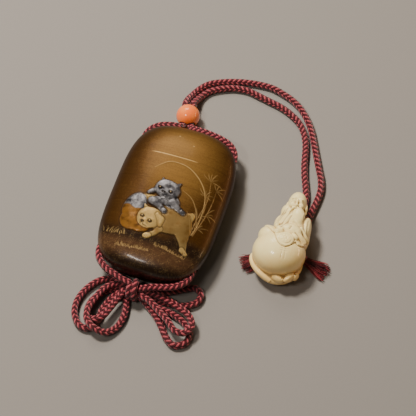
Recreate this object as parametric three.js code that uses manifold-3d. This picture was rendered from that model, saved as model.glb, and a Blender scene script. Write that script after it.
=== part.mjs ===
// Inro: a lacquered case of four stacked boxes and a lid, lying on its back with
// its silk cord, its coral bead and its carved toggle.
// Millimetres. The origin is the middle of the case's footprint, Y runs along the
// case towards the lid, X to the right and Z up from the table.
import * as THREE from 'three';
import { mergeVertices } from 'three/addons/utils/BufferGeometryUtils.js';
import Module from 'manifold-3d';

const wasm = await Module();
wasm.setup();

// Case, outside
const CASE_WIDTH = 57;
const CASE_LENGTH = 84;
const CASE_THICKNESS = 23;
const SECTION_POWER = 2.4;
const END_POWER = 3.6;
const BACK_FLAT_DEPTH = 0.35;
const CASE_COUNT = 4;
const CASE_PITCH = 15;
const LID_HEIGHT = 21;
const FIT_GAP = 0.3;

// Case, inside: walls outside and inside the cord channels, on the front and at the ends
const CHANNEL_WALL = 2.7;
const CHANNEL_RIB = 1.9;
const FACE_WALL = 2.4;
const END_WALL = 2.2;
const FLOOR = 1.2;
const LIP_WALL = 1.2;
const LIP_HEIGHT = 5;
const CAVITY_POWER = 3.2;

// Cord: how loosely its bores hold it, and how far it runs straight inside the case
const CORD_DIAMETER = 3.5;
const CORD_CLEARANCE = 0.45;
const CHANNEL_REACH = 30;
const BEAD_CORD_SPACING = 3.8;

// Relief on the front
const RELIEF_HEIGHT = 1.3;
const RELIEF_EMBED = 0.9;

// Bead
const BEAD_DIAMETER = 12;
const BEAD_PLACE = [-7.7, CASE_LENGTH / 2 + 12.6];
const BEAD_TURN = 14;

// Toggle: its middle, its lean towards the case, and its rolled hem
const TOGGLE_PLACE = [61.5, CASE_LENGTH / 2 - 49];
const TOGGLE_LEAN = 5.5;
const HEM_RADIUS = 1.8;
const TABLE_CLEARANCE = 0.05;

// Frayed cord ends at the toggle's sides
const TUFT_FLATNESS = 0.6;
const TASSELS = [
  { name: 'tassel_left', place: [52.2, CASE_LENGTH / 2 - 51.4], turn: 222, length: 12, width: 9 },
  { name: 'tassel_right', place: [72.6, CASE_LENGTH / 2 - 46.4], turn: -16, length: 14, width: 10 },
];

// Bow under the case
const KNOT_PLACE = [-1.2, -CASE_LENGTH / 2 - 5.2];
const KNOT_RADIUS = 5.7;
const KNOT_WIDTH = 7;

// Mesh fineness
const CORD_SIDES = 8;
const BODY_SIDES = 32;
const BODY_RINGS = 18;
const HOLLOW_SIDES = 16;
const HOLLOW_RINGS = 8;
const BORE_SIDES = 8;
const BALL_SIDES = 8;
const BALL_RINGS = 5;
const MOUTH_STEPS = 5;
const BEAD_SIDES = 16;
const TOGGLE_SIDES = 10;
const TOGGLE_RINGS = 6;
const LOOP_STEPS = 10;
const KNOT_SIDES = 16;
const FAN_SIDES = 16;
const ROOM = 200;

// Sizes that follow
const CORD_RADIUS = CORD_DIAMETER / 2;
const CHANNEL_RADIUS = CORD_RADIUS + CORD_CLEARANCE;
const CHANNEL_OFFSET = CASE_WIDTH / 2 - CHANNEL_WALL - CHANNEL_RADIUS;
const CAVITY_HALF_WIDTH = CHANNEL_OFFSET - CHANNEL_RADIUS - CHANNEL_RIB - FIT_GAP - LIP_WALL;
const CAVITY_HALF_THICKNESS = CASE_THICKNESS / 2 - FACE_WALL - FIT_GAP - LIP_WALL;
const MID_HEIGHT = CASE_THICKNESS / 2 - BACK_FLAT_DEPTH;
const LID_JOINT = CASE_LENGTH / 2 - LID_HEIGHT;
const SOCKET_DEPTH = LIP_HEIGHT + FIT_GAP;
const KNOT_HEIGHT = KNOT_RADIUS + TABLE_CLEARANCE;

const rad = THREE.MathUtils.degToRad;

const materials = {
  gold: { color: 0xa8813f, roughness: 0.38, metalness: 0.45 },
  bead: { color: 0xf08254, roughness: 0.22, metalness: 0 },
  ivory: { color: 0xece0bc, roughness: 0.4, metalness: 0 },
  cord: { color: 0x7c3b46, roughness: 0.8, metalness: 0 },
};

// Cord routes, as it lies in the photographed pose: points along its middle, each with its
// distance from the case's end that the cord leaves by
const fromLidEnd = (route) => route.map(([x, y, z]) => [x, y + CASE_LENGTH / 2, z]);
const fromFootEnd = (route) => route.map(([x, y, z]) => [x, y - CASE_LENGTH / 2, z]);
const loopsFromFootEnd = (loops) => loops.map(fromFootEnd);

const OUTER_STRAND = fromLidEnd([
  [-10.8, 17.3, 6], [-11.3, 19.6, 5.7], [-11.2, 23.3, 4.2], [-10.2, 27.6, 2.3], [-7.9, 32.6, 1.8],
  [-4.1, 37, 1.8], [1.5, 40, 1.8], [8, 42.4, 1.8], [14.1, 43.9, 1.8], [20.8, 44.8, 1.8],
  [27.3, 44.8, 1.8], [33.8, 43.1, 1.8], [40, 40.6, 1.8], [45.2, 37.2, 1.8], [49.8, 32.4, 1.8],
  [53.9, 26.6, 1.8], [57.3, 20, 1.8], [60.6, 13.1, 1.8], [64, 6.2, 1.8], [67, 0, 1.8],
  [68.6, -6, 1.8], [68.6, -12.2, 1.8], [68, -18.5, 1.8], [67.5, -25, 2], [67.1, -31, 2.4],
  [66.8, -35.5, 2.8],
]);
const INNER_STRAND = fromLidEnd([
  [-7.1, 18.2, 6], [-7.5, 20.2, 5.7], [-7.1, 23.5, 4.2], [-6, 27.4, 2.4], [-3, 32.3, 1.8],
  [2.9, 36.2, 1.8], [9.2, 38.6, 1.8], [16.1, 39.2, 1.8], [22.6, 37.9, 1.8], [28.9, 36.5, 1.8],
  [35.8, 34.8, 1.8], [41.6, 32.2, 1.8], [46.6, 28.9, 1.8], [50.4, 24.4, 1.8], [53.2, 18.9, 1.8],
  [54.9, 13, 1.8], [56.3, 6.8, 1.8], [58.3, 0.1, 1.8], [60.8, -6.4, 1.8], [62.8, -12.1, 1.8],
  [63.4, -17.5, 1.8], [63.3, -24, 2], [62.9, -30.6, 2.4], [62.6, -35.1, 2.8],
]);
const SHOULDER_RIGHT = fromLidEnd([
  [-7.1, 17.9, 6], [-5.9, 13.1, 6], [-4.6, 7.9, 6], [-3.6, 5.7, 6.8], [-0.6, 4.2, 9.1],
  [4.5, 3.1, 11], [9.5, 2.4, 11.2], [14.2, 1.5, 11.2], [18.6, -0.2, 11.2], [21.7, -3, 11.2],
  [23.3, -6.6, 11.2], [23.6, -11.7, 11.2],
]);
const SHOULDER_LEFT = fromLidEnd([
  [-10.8, 17, 6], [-9.5, 12.1, 6], [-8.3, 7, 6], [-8.2, 5.2, 6.9], [-9.4, 3.4, 9.2],
  [-12.8, 1.9, 10.9], [-18, -0.1, 11.2], [-21.4, -3, 11.2], [-23.2, -6.6, 11.2],
  [-23.6, -11.7, 11.2],
]);
const FOOT_RIGHT = fromFootEnd([
  [23.6, 11.7, 11.2], [23.3, 6.6, 11.2], [21.6, 2.9, 11.2], [18.3, 0, 11.2],
  [14, -1.8, 11], [9.6, -2.8, 10.7], [6, -3.6, 10.2], [2.6, -4.1, 9.6],
]);
const FOOT_LEFT = fromFootEnd([
  [-23.6, 11.7, 11.2], [-23.3, 6.6, 11.2], [-21.6, 2.9, 11.2], [-18.4, 0, 11.2],
  [-14.6, -1.9, 11], [-11, -2.9, 10.7], [-8, -3.7, 10.2], [-5.1, -4.3, 9.7],
]);
// Six loops of the bow, three a side, each out from the knot and back to it
const LOOPS_LEFT = loopsFromFootEnd([
  [
    [-5.1, -3, 4.4], [-9.5, -1.6, 2.8], [-15.5, -1.6, 1.8], [-20.6, -5, 1.8], [-24.6, -11.4, 1.8],
    [-26.2, -18.6, 1.8], [-24.6, -25.4, 1.8], [-20.2, -29.9, 1.8], [-15.4, -29.6, 1.8],
    [-13.2, -25, 1.8], [-13, -19, 1.8], [-11.4, -13, 1.8], [-8.6, -8.6, 2.6], [-5.1, -6.3, 4.2],
  ],
  [
    [-5.1, -4.4, 5.4], [-10, -4.6, 5.5], [-14.7, -8.4, 5.4], [-17.4, -14.8, 5.3],
    [-18.9, -21.2, 5.3], [-17.6, -27, 5.4], [-13, -30.2, 5.3], [-7.6, -30, 3.2], [-3.6, -25.8, 1.8],
    [-2, -19.6, 1.8], [-2.6, -13.4, 1.8], [-4.3, -9, 2.6], [-5.1, -7.3, 3.6],
  ],
  [
    [-5.1, -6.8, 5.8], [-7, -11.2, 5.5], [-9, -17.8, 5.3], [-11.2, -23.4, 5.3], [-15.6, -25.6, 4],
    [-19.4, -22.2, 1.9], [-19.6, -16.4, 1.8], [-16.6, -10.4, 1.8], [-11.4, -6.4, 2.4],
    [-5.1, -4.7, 4.2],
  ],
]);
const LOOPS_RIGHT = loopsFromFootEnd([
  [
    [2.7, -2.9, 4], [8.6, -1.8, 2.1], [15.2, 0.8, 1.8], [21, 4.2, 1.8], [26, 6.4, 1.8],
    [29.8, 4.2, 1.8], [29.2, -0.6, 1.8], [24.8, -3.9, 1.8], [18.4, -5.3, 1.8], [11, -5.5, 1.8],
    [2.7, -4.9, 2.6],
  ],
  [
    [2.7, -4.9, 5.4], [8.6, -4.3, 5.4], [16, -5.4, 5.3], [23.2, -7.6, 5.3], [28.8, -10.4, 5.3],
    [31.4, -15, 5.3], [29, -19.4, 5.3], [24.4, -19.6, 5.3], [20.4, -16.4, 5.3], [14.2, -12.4, 5.3],
    [8, -8.6, 5.4], [2.7, -7.2, 5.6],
  ],
  [
    [2.7, -7, 3.6], [7.4, -9.6, 1.9], [12.6, -13.4, 1.8], [17, -18, 1.8], [21.2, -23, 1.8],
    [26, -25.6, 1.8], [30.6, -23, 1.8], [31.2, -17.6, 1.8], [27.2, -13, 1.8], [20.4, -10.2, 1.8],
    [12.6, -9, 1.8], [7, -7.4, 2.2], [2.7, -5.9, 4],
  ],
]);

// A closed solid from a geometry whose surface is closed
function solid(geometry) {
  const bare = geometry.clone();
  bare.deleteAttribute('normal');
  bare.deleteAttribute('uv');
  const merged = mergeVertices(bare, 1e-4);
  return new wasm.Manifold(new wasm.Mesh({
    numProp: 3,
    vertProperties: new Float32Array(merged.attributes.position.array),
    triVerts: new Uint32Array(merged.index.array),
  }));
}

function join(solids) {
  return solids.reduce((all, next) => all.add(next));
}

// A named mesh of a solid, in one of the materials above
function meshOf(name, shape, material) {
  const { vertProperties, triVerts } = shape.getMesh();
  const geometry = new THREE.BufferGeometry();
  geometry.setAttribute('position', new THREE.BufferAttribute(new Float32Array(vertProperties), 3));
  geometry.setIndex(new THREE.BufferAttribute(new Uint32Array(triVerts), 1));
  geometry.computeVertexNormals();
  const mesh = new THREE.Mesh(geometry, new THREE.MeshStandardMaterial(materials[material]));
  mesh.name = name;
  return mesh;
}

function signedPower(value, power) {
  return Math.sign(value) * Math.abs(value) ** power;
}

// The case's rounded form, drawn in on every side by the inset
function roundedForm(inset, sides, rings) {
  const [a, b, c] = [CASE_WIDTH, CASE_LENGTH, CASE_THICKNESS].map((size) => size / 2 - inset);
  const form = new THREE.SphereGeometry(1, sides, rings);
  const place = form.attributes.position;
  for (let i = 0; i < place.count; i += 1) {
    const [x, y, z] = [place.getX(i), place.getY(i), place.getZ(i)];
    const across = Math.hypot(x, z);
    const width = across ** (2 / END_POWER);
    const turn = across > 0 ? [x / across, z / across] : [1, 0];
    place.setXYZ(
      i,
      a * width * signedPower(turn[0], 2 / SECTION_POWER),
      b * signedPower(y, 2 / END_POWER),
      c * width * signedPower(turn[1], 2 / SECTION_POWER),
    );
  }
  return solid(form);
}

// Height of the front above the case's middle plane
function frontHeight(x, y) {
  const left = 1 - Math.abs((2 * y) / CASE_LENGTH) ** END_POWER;
  const section = left ** (SECTION_POWER / END_POWER) - Math.abs((2 * x) / CASE_WIDTH) ** SECTION_POWER;
  return (CASE_THICKNESS / 2) * Math.max(section, 0) ** (1 / SECTION_POWER);
}

// All of space between two heights of Y, wide enough to cut the case
function slab(low, high) {
  const box = new THREE.BoxGeometry(ROOM, high - low, ROOM);
  box.translate(0, (low + high) / 2, 0);
  return solid(box);
}

// An upright oval prism between two heights of Y, as wide as the cavity grown by a margin
function ovalPrism(grow, low, high) {
  const points = [];
  for (let i = 0; i < HOLLOW_SIDES; i += 1) {
    const angle = (2 * Math.PI * i) / HOLLOW_SIDES;
    points.push(new THREE.Vector2(
      (CAVITY_HALF_WIDTH + grow) * signedPower(Math.cos(angle), 2 / CAVITY_POWER),
      (CAVITY_HALF_THICKNESS + grow) * signedPower(Math.sin(angle), 2 / CAVITY_POWER),
    ));
  }
  const prism = new THREE.ExtrudeGeometry(new THREE.Shape(points), {
    depth: high - low,
    bevelEnabled: false,
  });
  prism.rotateX(-Math.PI / 2);
  prism.translate(0, low, 0);
  return solid(prism);
}

// A rod of the cord's section along its route
function rod(points, radius, steps) {
  const section = [];
  for (let i = 0; i < CORD_SIDES; i += 1) {
    const angle = (2 * Math.PI * (i + 0.5)) / CORD_SIDES;
    section.push(new THREE.Vector2(radius * Math.cos(angle), radius * Math.sin(angle)));
  }
  const extrudePath = new THREE.CatmullRomCurve3(points.map((point) => new THREE.Vector3(...point)));
  extrudePath.curveType = 'centripetal';
  return solid(new THREE.ExtrudeGeometry(new THREE.Shape(section), {
    steps,
    extrudePath,
    bevelEnabled: false,
  }));
}

// Straight bores for the cord down both sides of the case
function channels() {
  return join([-1, 1].map((side) => {
    const bore = new THREE.CylinderGeometry(CHANNEL_RADIUS, CHANNEL_RADIUS, ROOM, BORE_SIDES);
    bore.translate(side * CHANNEL_OFFSET, 0, 0);
    return solid(bore);
  }));
}

// The rounded mouths where the cord leaves the channels and bends to the middle
function channelMouths() {
  const routes = [SHOULDER_RIGHT.slice(4), SHOULDER_LEFT.slice(3), FOOT_RIGHT, FOOT_LEFT];
  const mouths = routes.map((route) => rod(route, CHANNEL_RADIUS, MOUTH_STEPS));
  return join(mouths).translate([0, 0, -MID_HEIGHT]);
}

// An oval bump on the front: its middle, half sizes, turn, and height as a share of the relief
function bump([x, y, halfWidth, halfLength, turn, rise]) {
  const height = RELIEF_HEIGHT * rise + RELIEF_EMBED;
  const ball = new THREE.SphereGeometry(1, BALL_SIDES, BALL_RINGS);
  ball.scale(halfWidth, halfLength, height);
  ball.rotateZ(rad(turn));
  const slope = new THREE.Vector3(
    frontHeight(x - 1, y) - frontHeight(x + 1, y),
    frontHeight(x, y - 1) - frontHeight(x, y + 1),
    2,
  ).normalize();
  ball.applyQuaternion(new THREE.Quaternion().setFromUnitVectors(new THREE.Vector3(0, 0, 1), slope));
  ball.translate(x, y, frontHeight(x, y) - RELIEF_EMBED);
  return solid(ball);
}

// Three puppies at play, in low relief
function puppies() {
  const upper = [
    [0.2, 1.4, 6.2, 5.4, -20, 1], [0, -2.2, 3.4, 2.6, -15, 1.4], [-6.6, -2, 2, 3.6, 55, 0.7],
    [-3.9, 5.6, 1.5, 2, 25, 0.8], [5, 5, 1.6, 2, -45, 0.8], [5.4, -2.8, 3.2, 4.6, 25, 0.6],
    [-2, -8.2, 1.9, 4.6, 62, 0.9], [7.6, -6.6, 1.9, 4.6, 52, 0.9],
  ];
  const middle = [
    [-4, -16, 5.6, 5.2, 0, 1], [-3.4, -18.4, 3.2, 2.6, -10, 1.4], [2, -16.6, 1.8, 3.8, 20, 1],
    [5.6, -13.4, 6.6, 5.8, -15, 0.8], [12.2, -15.6, 5.6, 7, 12, 0.8], [15.6, -22.4, 2.8, 6.4, 10, 0.8],
    [-1.4, -24.6, 2.2, 2, 0, 0.8], [5.6, -20.6, 3.6, 2.4, 15, 0.6], [14.2, -9.2, 2.4, 2.6, 40, 0.8],
  ];
  const lower = [
    [-12.6, -11.4, 5.4, 7.6, -12, 0.8], [-12.2, -18.6, 5.6, 6.2, 20, 0.7], [-8.8, -6.4, 2.2, 3.2, 60, 0.7],
  ];
  return join([...lower, ...middle, ...upper].map(bump));
}

// The whole outside: rounded form with its relief, worn flat at the back
function outside() {
  const above = new THREE.BoxGeometry(ROOM, ROOM, ROOM);
  above.translate(0, 0, ROOM / 2 - MID_HEIGHT);
  const form = roundedForm(0, BODY_SIDES, BODY_RINGS).add(puppies());
  return form.intersect(solid(above)).subtract(channelMouths());
}

// What the lip of the box below fits into
function socket(low) {
  return ovalPrism(LIP_WALL + FIT_GAP, low - 1, low + SOCKET_DEPTH);
}

// The case between two joints, with the raised inner lip of a stacked box
function withLip(whole, low, high) {
  const lip = ovalPrism(LIP_WALL, high - FLOOR, high + LIP_HEIGHT);
  return whole.intersect(slab(low, high)).add(lip).subtract(channels());
}

// A middle box: a socket below, a floor, and a hollow that is open above
function middleCase(whole, low, high) {
  const hollow = ovalPrism(0, low + SOCKET_DEPTH + FLOOR, high + LIP_HEIGHT + 1);
  return withLip(whole, low, high).subtract(socket(low)).subtract(hollow);
}

// The lowest box, whose hollow follows the rounded end
function bottomCase(whole, high) {
  const room = roundedForm(END_WALL, HOLLOW_SIDES, HOLLOW_RINGS).add(slab(high - 1, CASE_LENGTH));
  const hollow = ovalPrism(0, -CASE_LENGTH / 2, high + LIP_HEIGHT + 1).intersect(room);
  return withLip(whole, -CASE_LENGTH, high).subtract(hollow);
}

// The lid: its mouth fits over the lip below, and its hollow follows its rounded top
function lid(whole, low) {
  const room = roundedForm(END_WALL, HOLLOW_SIDES, HOLLOW_RINGS);
  const hollow = ovalPrism(0, low, CASE_LENGTH / 2).intersect(room);
  const cap = whole.intersect(slab(low, CASE_LENGTH)).subtract(channels());
  return cap.subtract(socket(low)).subtract(hollow);
}

function inro() {
  const group = new THREE.Group();
  group.position.z = MID_HEIGHT;
  const whole = outside();
  group.add(meshOf('lid', lid(whole, LID_JOINT + FIT_GAP / 2), 'gold'));
  for (let i = 1; i <= CASE_COUNT; i += 1) {
    const high = LID_JOINT - (i - 1) * CASE_PITCH - FIT_GAP / 2;
    const low = LID_JOINT - i * CASE_PITCH + FIT_GAP / 2;
    const box = i < CASE_COUNT ? middleCase(whole, low, high) : bottomCase(whole, high);
    group.add(meshOf(`case_${i}`, box, 'gold'));
  }
  return group;
}

// The bead on both strands, with a side-by-side pair of bores
function bead() {
  const ball = solid(new THREE.SphereGeometry(BEAD_DIAMETER / 2, BEAD_SIDES, BEAD_SIDES / 2));
  const bores = [-1, 1].map((side) => {
    const bore = new THREE.CylinderGeometry(CHANNEL_RADIUS, CHANNEL_RADIUS, 2 * BEAD_DIAMETER, BORE_SIDES);
    bore.translate((side * BEAD_CORD_SPACING) / 2, 0, 0);
    return solid(bore);
  });
  const mesh = meshOf('ojime_bead', ball.subtract(join(bores)), 'bead');
  mesh.position.set(BEAD_PLACE[0], BEAD_PLACE[1], BEAD_DIAMETER / 2);
  mesh.rotation.z = rad(BEAD_TURN);
  return mesh;
}

// A ball of the toggle: its middle, its half sizes, its turn about Z and its tilt about X
function lump([x, y, z, a, b, c, turn = 0, tilt = 0]) {
  const ball = new THREE.SphereGeometry(1, TOGGLE_SIDES, TOGGLE_RINGS);
  ball.scale(a, b, c);
  ball.rotateX(rad(tilt));
  ball.rotateZ(rad(turn));
  ball.translate(x, y, z);
  return solid(ball);
}

// A bearded sage resting on a great round sack, with a round fan and its ribbon on it
function toggleForm() {
  const robe = [
    [-1.2, -2.4, 10.4, 13.4, 12.8, 10.6], [2.2, 9.6, 8.6, 10.6, 13, 8.4],
    [0.2, -4, 5, 12.6, 12.4, 5], [-4.2, 13.6, 9.4, 6, 7.4, 6.2, 20], [9.2, 10.4, 9.8, 3.6, 10, 6, -4],
    [0.6, 15.2, 13.6, 5.6, 5, 3.6],
  ];
  const headAndHands = [
    [2.6, 25.4, 11.6, 5.5, 6.7, 5.9], [4.6, 15, 15.4, 3.9, 7.6, 3.6, 14, 8],
    [-2.2, 7.2, 18.8, 3.4, 2.4, 2.2, 10], [5.2, 6.8, 18.2, 3, 2.4, 2.2, -8],
  ];
  const feet = [[0, -13, 7.4, 3.2, 3, 3.6, -10], [6.4, -12.2, 7.4, 3, 3.2, 3.4, 12]];
  const hem = [
    [-13.2, -5.8, 6.2], [-11, -9.8, 5.6], [-7.2, -12.8, 4.8], [-2.2, -14.6, 4], [3.4, -14.6, 4],
    [8, -12.4, 4.4], [11, -8.4, 5.6],
  ];
  const fan = new THREE.CylinderGeometry(4.4, 4.8, 2.4, FAN_SIDES);
  fan.rotateX(Math.PI / 2);
  fan.translate(0, 0.4, 20.4);
  const ribbon = [[1.2, -7, 18.6, 1.5, 4.6, 1.8, 10, -14]];
  const shapes = [...robe, ...headAndHands, ...feet, ...ribbon].map(lump);
  return join([...shapes, rod(hem, HEM_RADIUS, 10), solid(fan)]);
}

// Places a solid of the toggle's own frame on the table
function setDown(shape) {
  return shape.rotate([0, 0, TOGGLE_LEAN]).translate([...TOGGLE_PLACE, 0]);
}

function toggle() {
  const box = new THREE.BoxGeometry(ROOM, ROOM, ROOM);
  box.translate(0, 0, ROOM / 2 + TABLE_CLEARANCE);
  const cordHoles = [OUTER_STRAND, INNER_STRAND].map((route) => rod(route.slice(-6), CHANNEL_RADIUS, 8));
  const tufts = TASSELS.map((tassel) => tuft(tassel, CORD_CLEARANCE));
  const form = setDown(toggleForm().intersect(solid(box)));
  return meshOf('netsuke', form.subtract(join([...cordHoles, ...tufts])), 'ivory');
}

// A frayed cord end, narrow where it comes out and wide at its tips, lying on the table
function tuft({ place, turn, length, width }, margin) {
  const neck = CORD_RADIUS + margin;
  const half = width / 2 + margin;
  const profile = [
    [0, -margin], [neck, -margin], [neck, 0.2 * length], [0.75 * half, 0.6 * length],
    [half, 0.92 * length], [0.6 * half, length + margin], [0, length + margin],
  ];
  const brush = new THREE.LatheGeometry(profile.map((point) => new THREE.Vector2(...point)), BALL_SIDES);
  brush.rotateZ(-Math.PI / 2);
  brush.scale(1, 1, TUFT_FLATNESS);
  brush.rotateZ(rad(turn));
  brush.translate(...place, (TUFT_FLATNESS * width) / 2);
  return solid(brush);
}

function tassels() {
  return TASSELS.map((tassel) => meshOf(tassel.name, tuft(tassel, 0), 'cord'));
}

// The knot that gathers the bow: a short barrel along X, grown by the margin
function knotForm(margin) {
  const radius = KNOT_RADIUS + margin;
  const half = KNOT_WIDTH / 2 + margin;
  const profile = [
    [0, -half], [0.75 * radius, -half], [radius, -half / 2], [radius, half / 2],
    [0.75 * radius, half], [0, half],
  ];
  const barrel = new THREE.LatheGeometry(profile.map((point) => new THREE.Vector2(...point)), KNOT_SIDES);
  barrel.rotateZ(Math.PI / 2);
  barrel.translate(...KNOT_PLACE, KNOT_HEIGHT);
  return solid(barrel);
}

// The cord's free and enclosed stretches, each meeting the next face to face
function cords() {
  const straight = (side) => [-1, 0, 1].map((end) => (
    [side * CHANNEL_OFFSET, end * CHANNEL_REACH, MID_HEIGHT]
  ));
  const stretches = {
    cord_strand_outer: [OUTER_STRAND, 16],
    cord_strand_inner: [INNER_STRAND, 14],
    cord_shoulder_right: [SHOULDER_RIGHT, 11],
    cord_shoulder_left: [SHOULDER_LEFT, 10],
    cord_channel_right: [straight(1), 1],
    cord_channel_left: [straight(-1), 1],
    cord_foot_right: [FOOT_RIGHT, 7],
    cord_foot_left: [FOOT_LEFT, 7],
  };
  const knotRoom = knotForm(FIT_GAP);
  return Object.entries(stretches).map(([name, [route, steps]]) => (
    meshOf(name, rod(route, CORD_RADIUS, steps).subtract(knotRoom), 'cord')
  ));
}

// The bow's loops on each side, and its knot
function bow() {
  const knotRoom = knotForm(FIT_GAP);
  const sides = { bow_loops_left: LOOPS_LEFT, bow_loops_right: LOOPS_RIGHT };
  const meshes = Object.entries(sides).map(([name, loops]) => {
    const bundle = join(loops.map((loop) => rod(loop, CORD_RADIUS, LOOP_STEPS)));
    return meshOf(name, bundle.subtract(knotRoom), 'cord');
  });
  return [...meshes, meshOf('bow_knot', knotForm(0), 'cord')];
}

const group = new THREE.Group();
group.add(inro(), bead(), toggle(), ...tassels(), ...cords(), ...bow());
export default group;
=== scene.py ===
"""A gold-lacquered inro on its back, with its silk cord, its coral bead and its ivory toggle."""
import logging
import math
from dataclasses import dataclass
from enum import Enum
from typing import Iterable, Sequence, Union

import bpy
import numpy as np
from mathutils import Matrix, Vector


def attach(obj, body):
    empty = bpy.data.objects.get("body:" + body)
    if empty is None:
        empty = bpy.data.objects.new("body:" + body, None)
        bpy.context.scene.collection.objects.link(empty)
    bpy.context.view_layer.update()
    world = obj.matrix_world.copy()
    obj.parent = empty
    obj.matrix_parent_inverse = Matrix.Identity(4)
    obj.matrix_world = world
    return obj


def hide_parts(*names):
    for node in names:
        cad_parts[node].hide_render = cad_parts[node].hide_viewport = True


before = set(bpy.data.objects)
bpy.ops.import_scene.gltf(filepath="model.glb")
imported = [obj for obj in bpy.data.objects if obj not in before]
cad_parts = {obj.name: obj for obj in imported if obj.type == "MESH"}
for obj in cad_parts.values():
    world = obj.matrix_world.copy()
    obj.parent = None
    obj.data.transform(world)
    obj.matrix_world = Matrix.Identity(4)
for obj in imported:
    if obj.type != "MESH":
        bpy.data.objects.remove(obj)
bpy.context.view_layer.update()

LOG = logging.getLogger("inro")
MM = 0.001
BODY = "root"
PLANE_TOLERANCE = 1e-7  # metres: at Blender's own 0.1 mm the cut faces don't close
Point = Sequence[float]
Colour = tuple[float, float, float]


class Inlay(Enum):
    """What the front's surface is made of, with its painted shade and painted glints, by the name of its
    attribute on the mesh.
    """

    SILVER = "inlay_silver"
    GOLD = "inlay_gold"
    ORANGE = "inlay_orange"
    LINE = "inlay_line_and_eye_glint"
    SHADE_AND_DARK_FEATURES = "inlay_painted_shade_and_dark_features"
    LINING = "lining"


@dataclass(frozen=True)
class CaseForm:
    """The case's rounded outside and its joints, in millimetres."""

    width: float = 57.0
    length: float = 84.0
    thickness: float = 23.0
    section_power: float = 2.4
    end_power: float = 3.6
    back_flat: float = 0.35
    joints: tuple[float, ...] = (21.0, 6.0, -9.0, -24.0)
    joint_gap: float = 0.06

    @property
    def mid_height(self) -> float:
        """Height of the case's middle plane above the table."""
        return self.thickness / 2 - self.back_flat

    def front_height(self, x: np.ndarray, y: np.ndarray) -> np.ndarray:
        """Height of the plain front above the middle plane.

        Args:
            x: Places across the case.
            y: Places along the case.

        Returns:
            The heights, 0 outside the outline.
        """
        left = np.clip(1 - np.abs(2 * y / self.length) ** self.end_power, 0, None)
        section = left ** (self.section_power / self.end_power)
        section = section - np.abs(2 * x / self.width) ** self.section_power
        return self.thickness / 2 * np.clip(section, 0, None) ** (1 / self.section_power)


FORM = CaseForm()


# Small helpers for Blender's own tools
def deselect() -> None:
    """Leave nothing selected."""
    bpy.ops.object.select_all(action="DESELECT")


def activate(piece: bpy.types.Object) -> bpy.types.Object:
    """Select one object alone and make it the active one.

    Args:
        piece: The object.

    Returns:
        The same object.
    """
    deselect()
    piece.select_set(True)
    bpy.context.view_layer.objects.active = piece
    return piece


def apply_modifier(piece: bpy.types.Object, kind: str, **settings: object) -> None:
    """Add a modifier with its settings and apply it.

    Args:
        piece: The object that it changes.
        kind: The modifier's type, such as BOOLEAN.
        settings: Its settings by name.
    """
    activate(piece)
    modifier = piece.modifiers.new(kind.title(), kind)
    for name, value in settings.items():
        setattr(modifier, name, value)
    bpy.ops.object.modifier_apply(modifier=modifier.name)


def cut(piece: bpy.types.Object, tool: bpy.types.Object, operation: str = "DIFFERENCE") -> None:
    """Cut, join or meet a piece with a tool solid, which is used up."""
    apply_modifier(piece, "BOOLEAN", operation=operation, object=tool, solver="MANIFOLD")
    bpy.data.objects.remove(tool)


def bisect(piece: bpy.types.Object, place: Point, normal: Point) -> None:
    """Cut a closed piece by a plane, drop what lies past it and close the cut.

    Args:
        piece: The piece.
        place: A point on the plane, in metres.
        normal: The direction in which everything is dropped.
    """
    activate(piece)
    bpy.ops.object.mode_set(mode="EDIT")
    bpy.ops.mesh.select_all(action="SELECT")
    bpy.ops.mesh.bisect(
        plane_co=place, plane_no=normal, use_fill=True, clear_outer=True, threshold=PLANE_TOLERANCE)
    bpy.ops.object.mode_set(mode="OBJECT")


def points_of(piece: bpy.types.Object) -> np.ndarray:
    """The piece's vertices.

    Args:
        piece: A mesh object.

    Returns:
        Their places in millimetres, as an array of three columns.
    """
    flat = np.empty(3 * len(piece.data.vertices))
    piece.data.vertices.foreach_get("co", flat)
    return flat.reshape(-1, 3) / MM


def set_points(piece: bpy.types.Object, places: np.ndarray) -> None:
    """Put the piece's vertices at these places, given in millimetres."""
    piece.data.vertices.foreach_set("co", (places * MM).ravel())
    piece.data.update()


def normals_of(piece: bpy.types.Object) -> np.ndarray:
    """The piece's vertex normals.

    Args:
        piece: A mesh object.

    Returns:
        The normals, as an array of three columns.
    """
    flat = np.empty(3 * len(piece.data.vertices))
    piece.data.vertex_normals.foreach_get("vector", flat)
    return flat.reshape(-1, 3)


def set_attribute(piece: bpy.types.Object, name: str, values: np.ndarray) -> None:
    """Store one number for each vertex under a name that a material reads."""
    layer = piece.data.attributes.get(name) or piece.data.attributes.new(name, "FLOAT", "POINT")
    layer.data.foreach_set("value", values.astype(np.float32))


def neighbour_mean(piece: bpy.types.Object, values: np.ndarray, rounds: int = 1) -> np.ndarray:
    """Average values over each vertex's neighbours, a number of times.

    Args:
        piece: The piece whose edges join the neighbours.
        values: One row for each vertex.
        rounds: How many times.

    Returns:
        The averaged values.
    """
    ends = np.empty(2 * len(piece.data.edges), dtype=np.int64)
    piece.data.edges.foreach_get("vertices", ends)
    first, second = ends[0::2], ends[1::2]
    count = np.bincount(ends, minlength=len(values)).clip(1)
    shape = (-1,) + (1,) * (values.ndim - 1)
    for _ in range(rounds):
        total = np.zeros_like(values)
        np.add.at(total, first, values[second])
        np.add.at(total, second, values[first])
        values = total / count.reshape(shape)
    return values


def mesh_piece(
    name: str, places: np.ndarray, faces: Sequence[Sequence[int]]
) -> bpy.types.Object:
    """Make an object from places in millimetres and faces.

    Args:
        name: Its name.
        places: Its vertices, as an array of three columns.
        faces: The numbers of each face's vertices.

    Returns:
        The object, in the scene.
    """
    mesh = bpy.data.meshes.new(name)
    mesh.from_pydata((places * MM).tolist(), [], faces)
    mesh.update()
    piece = bpy.data.objects.new(name, mesh)
    bpy.context.scene.collection.objects.link(piece)
    return piece


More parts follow.
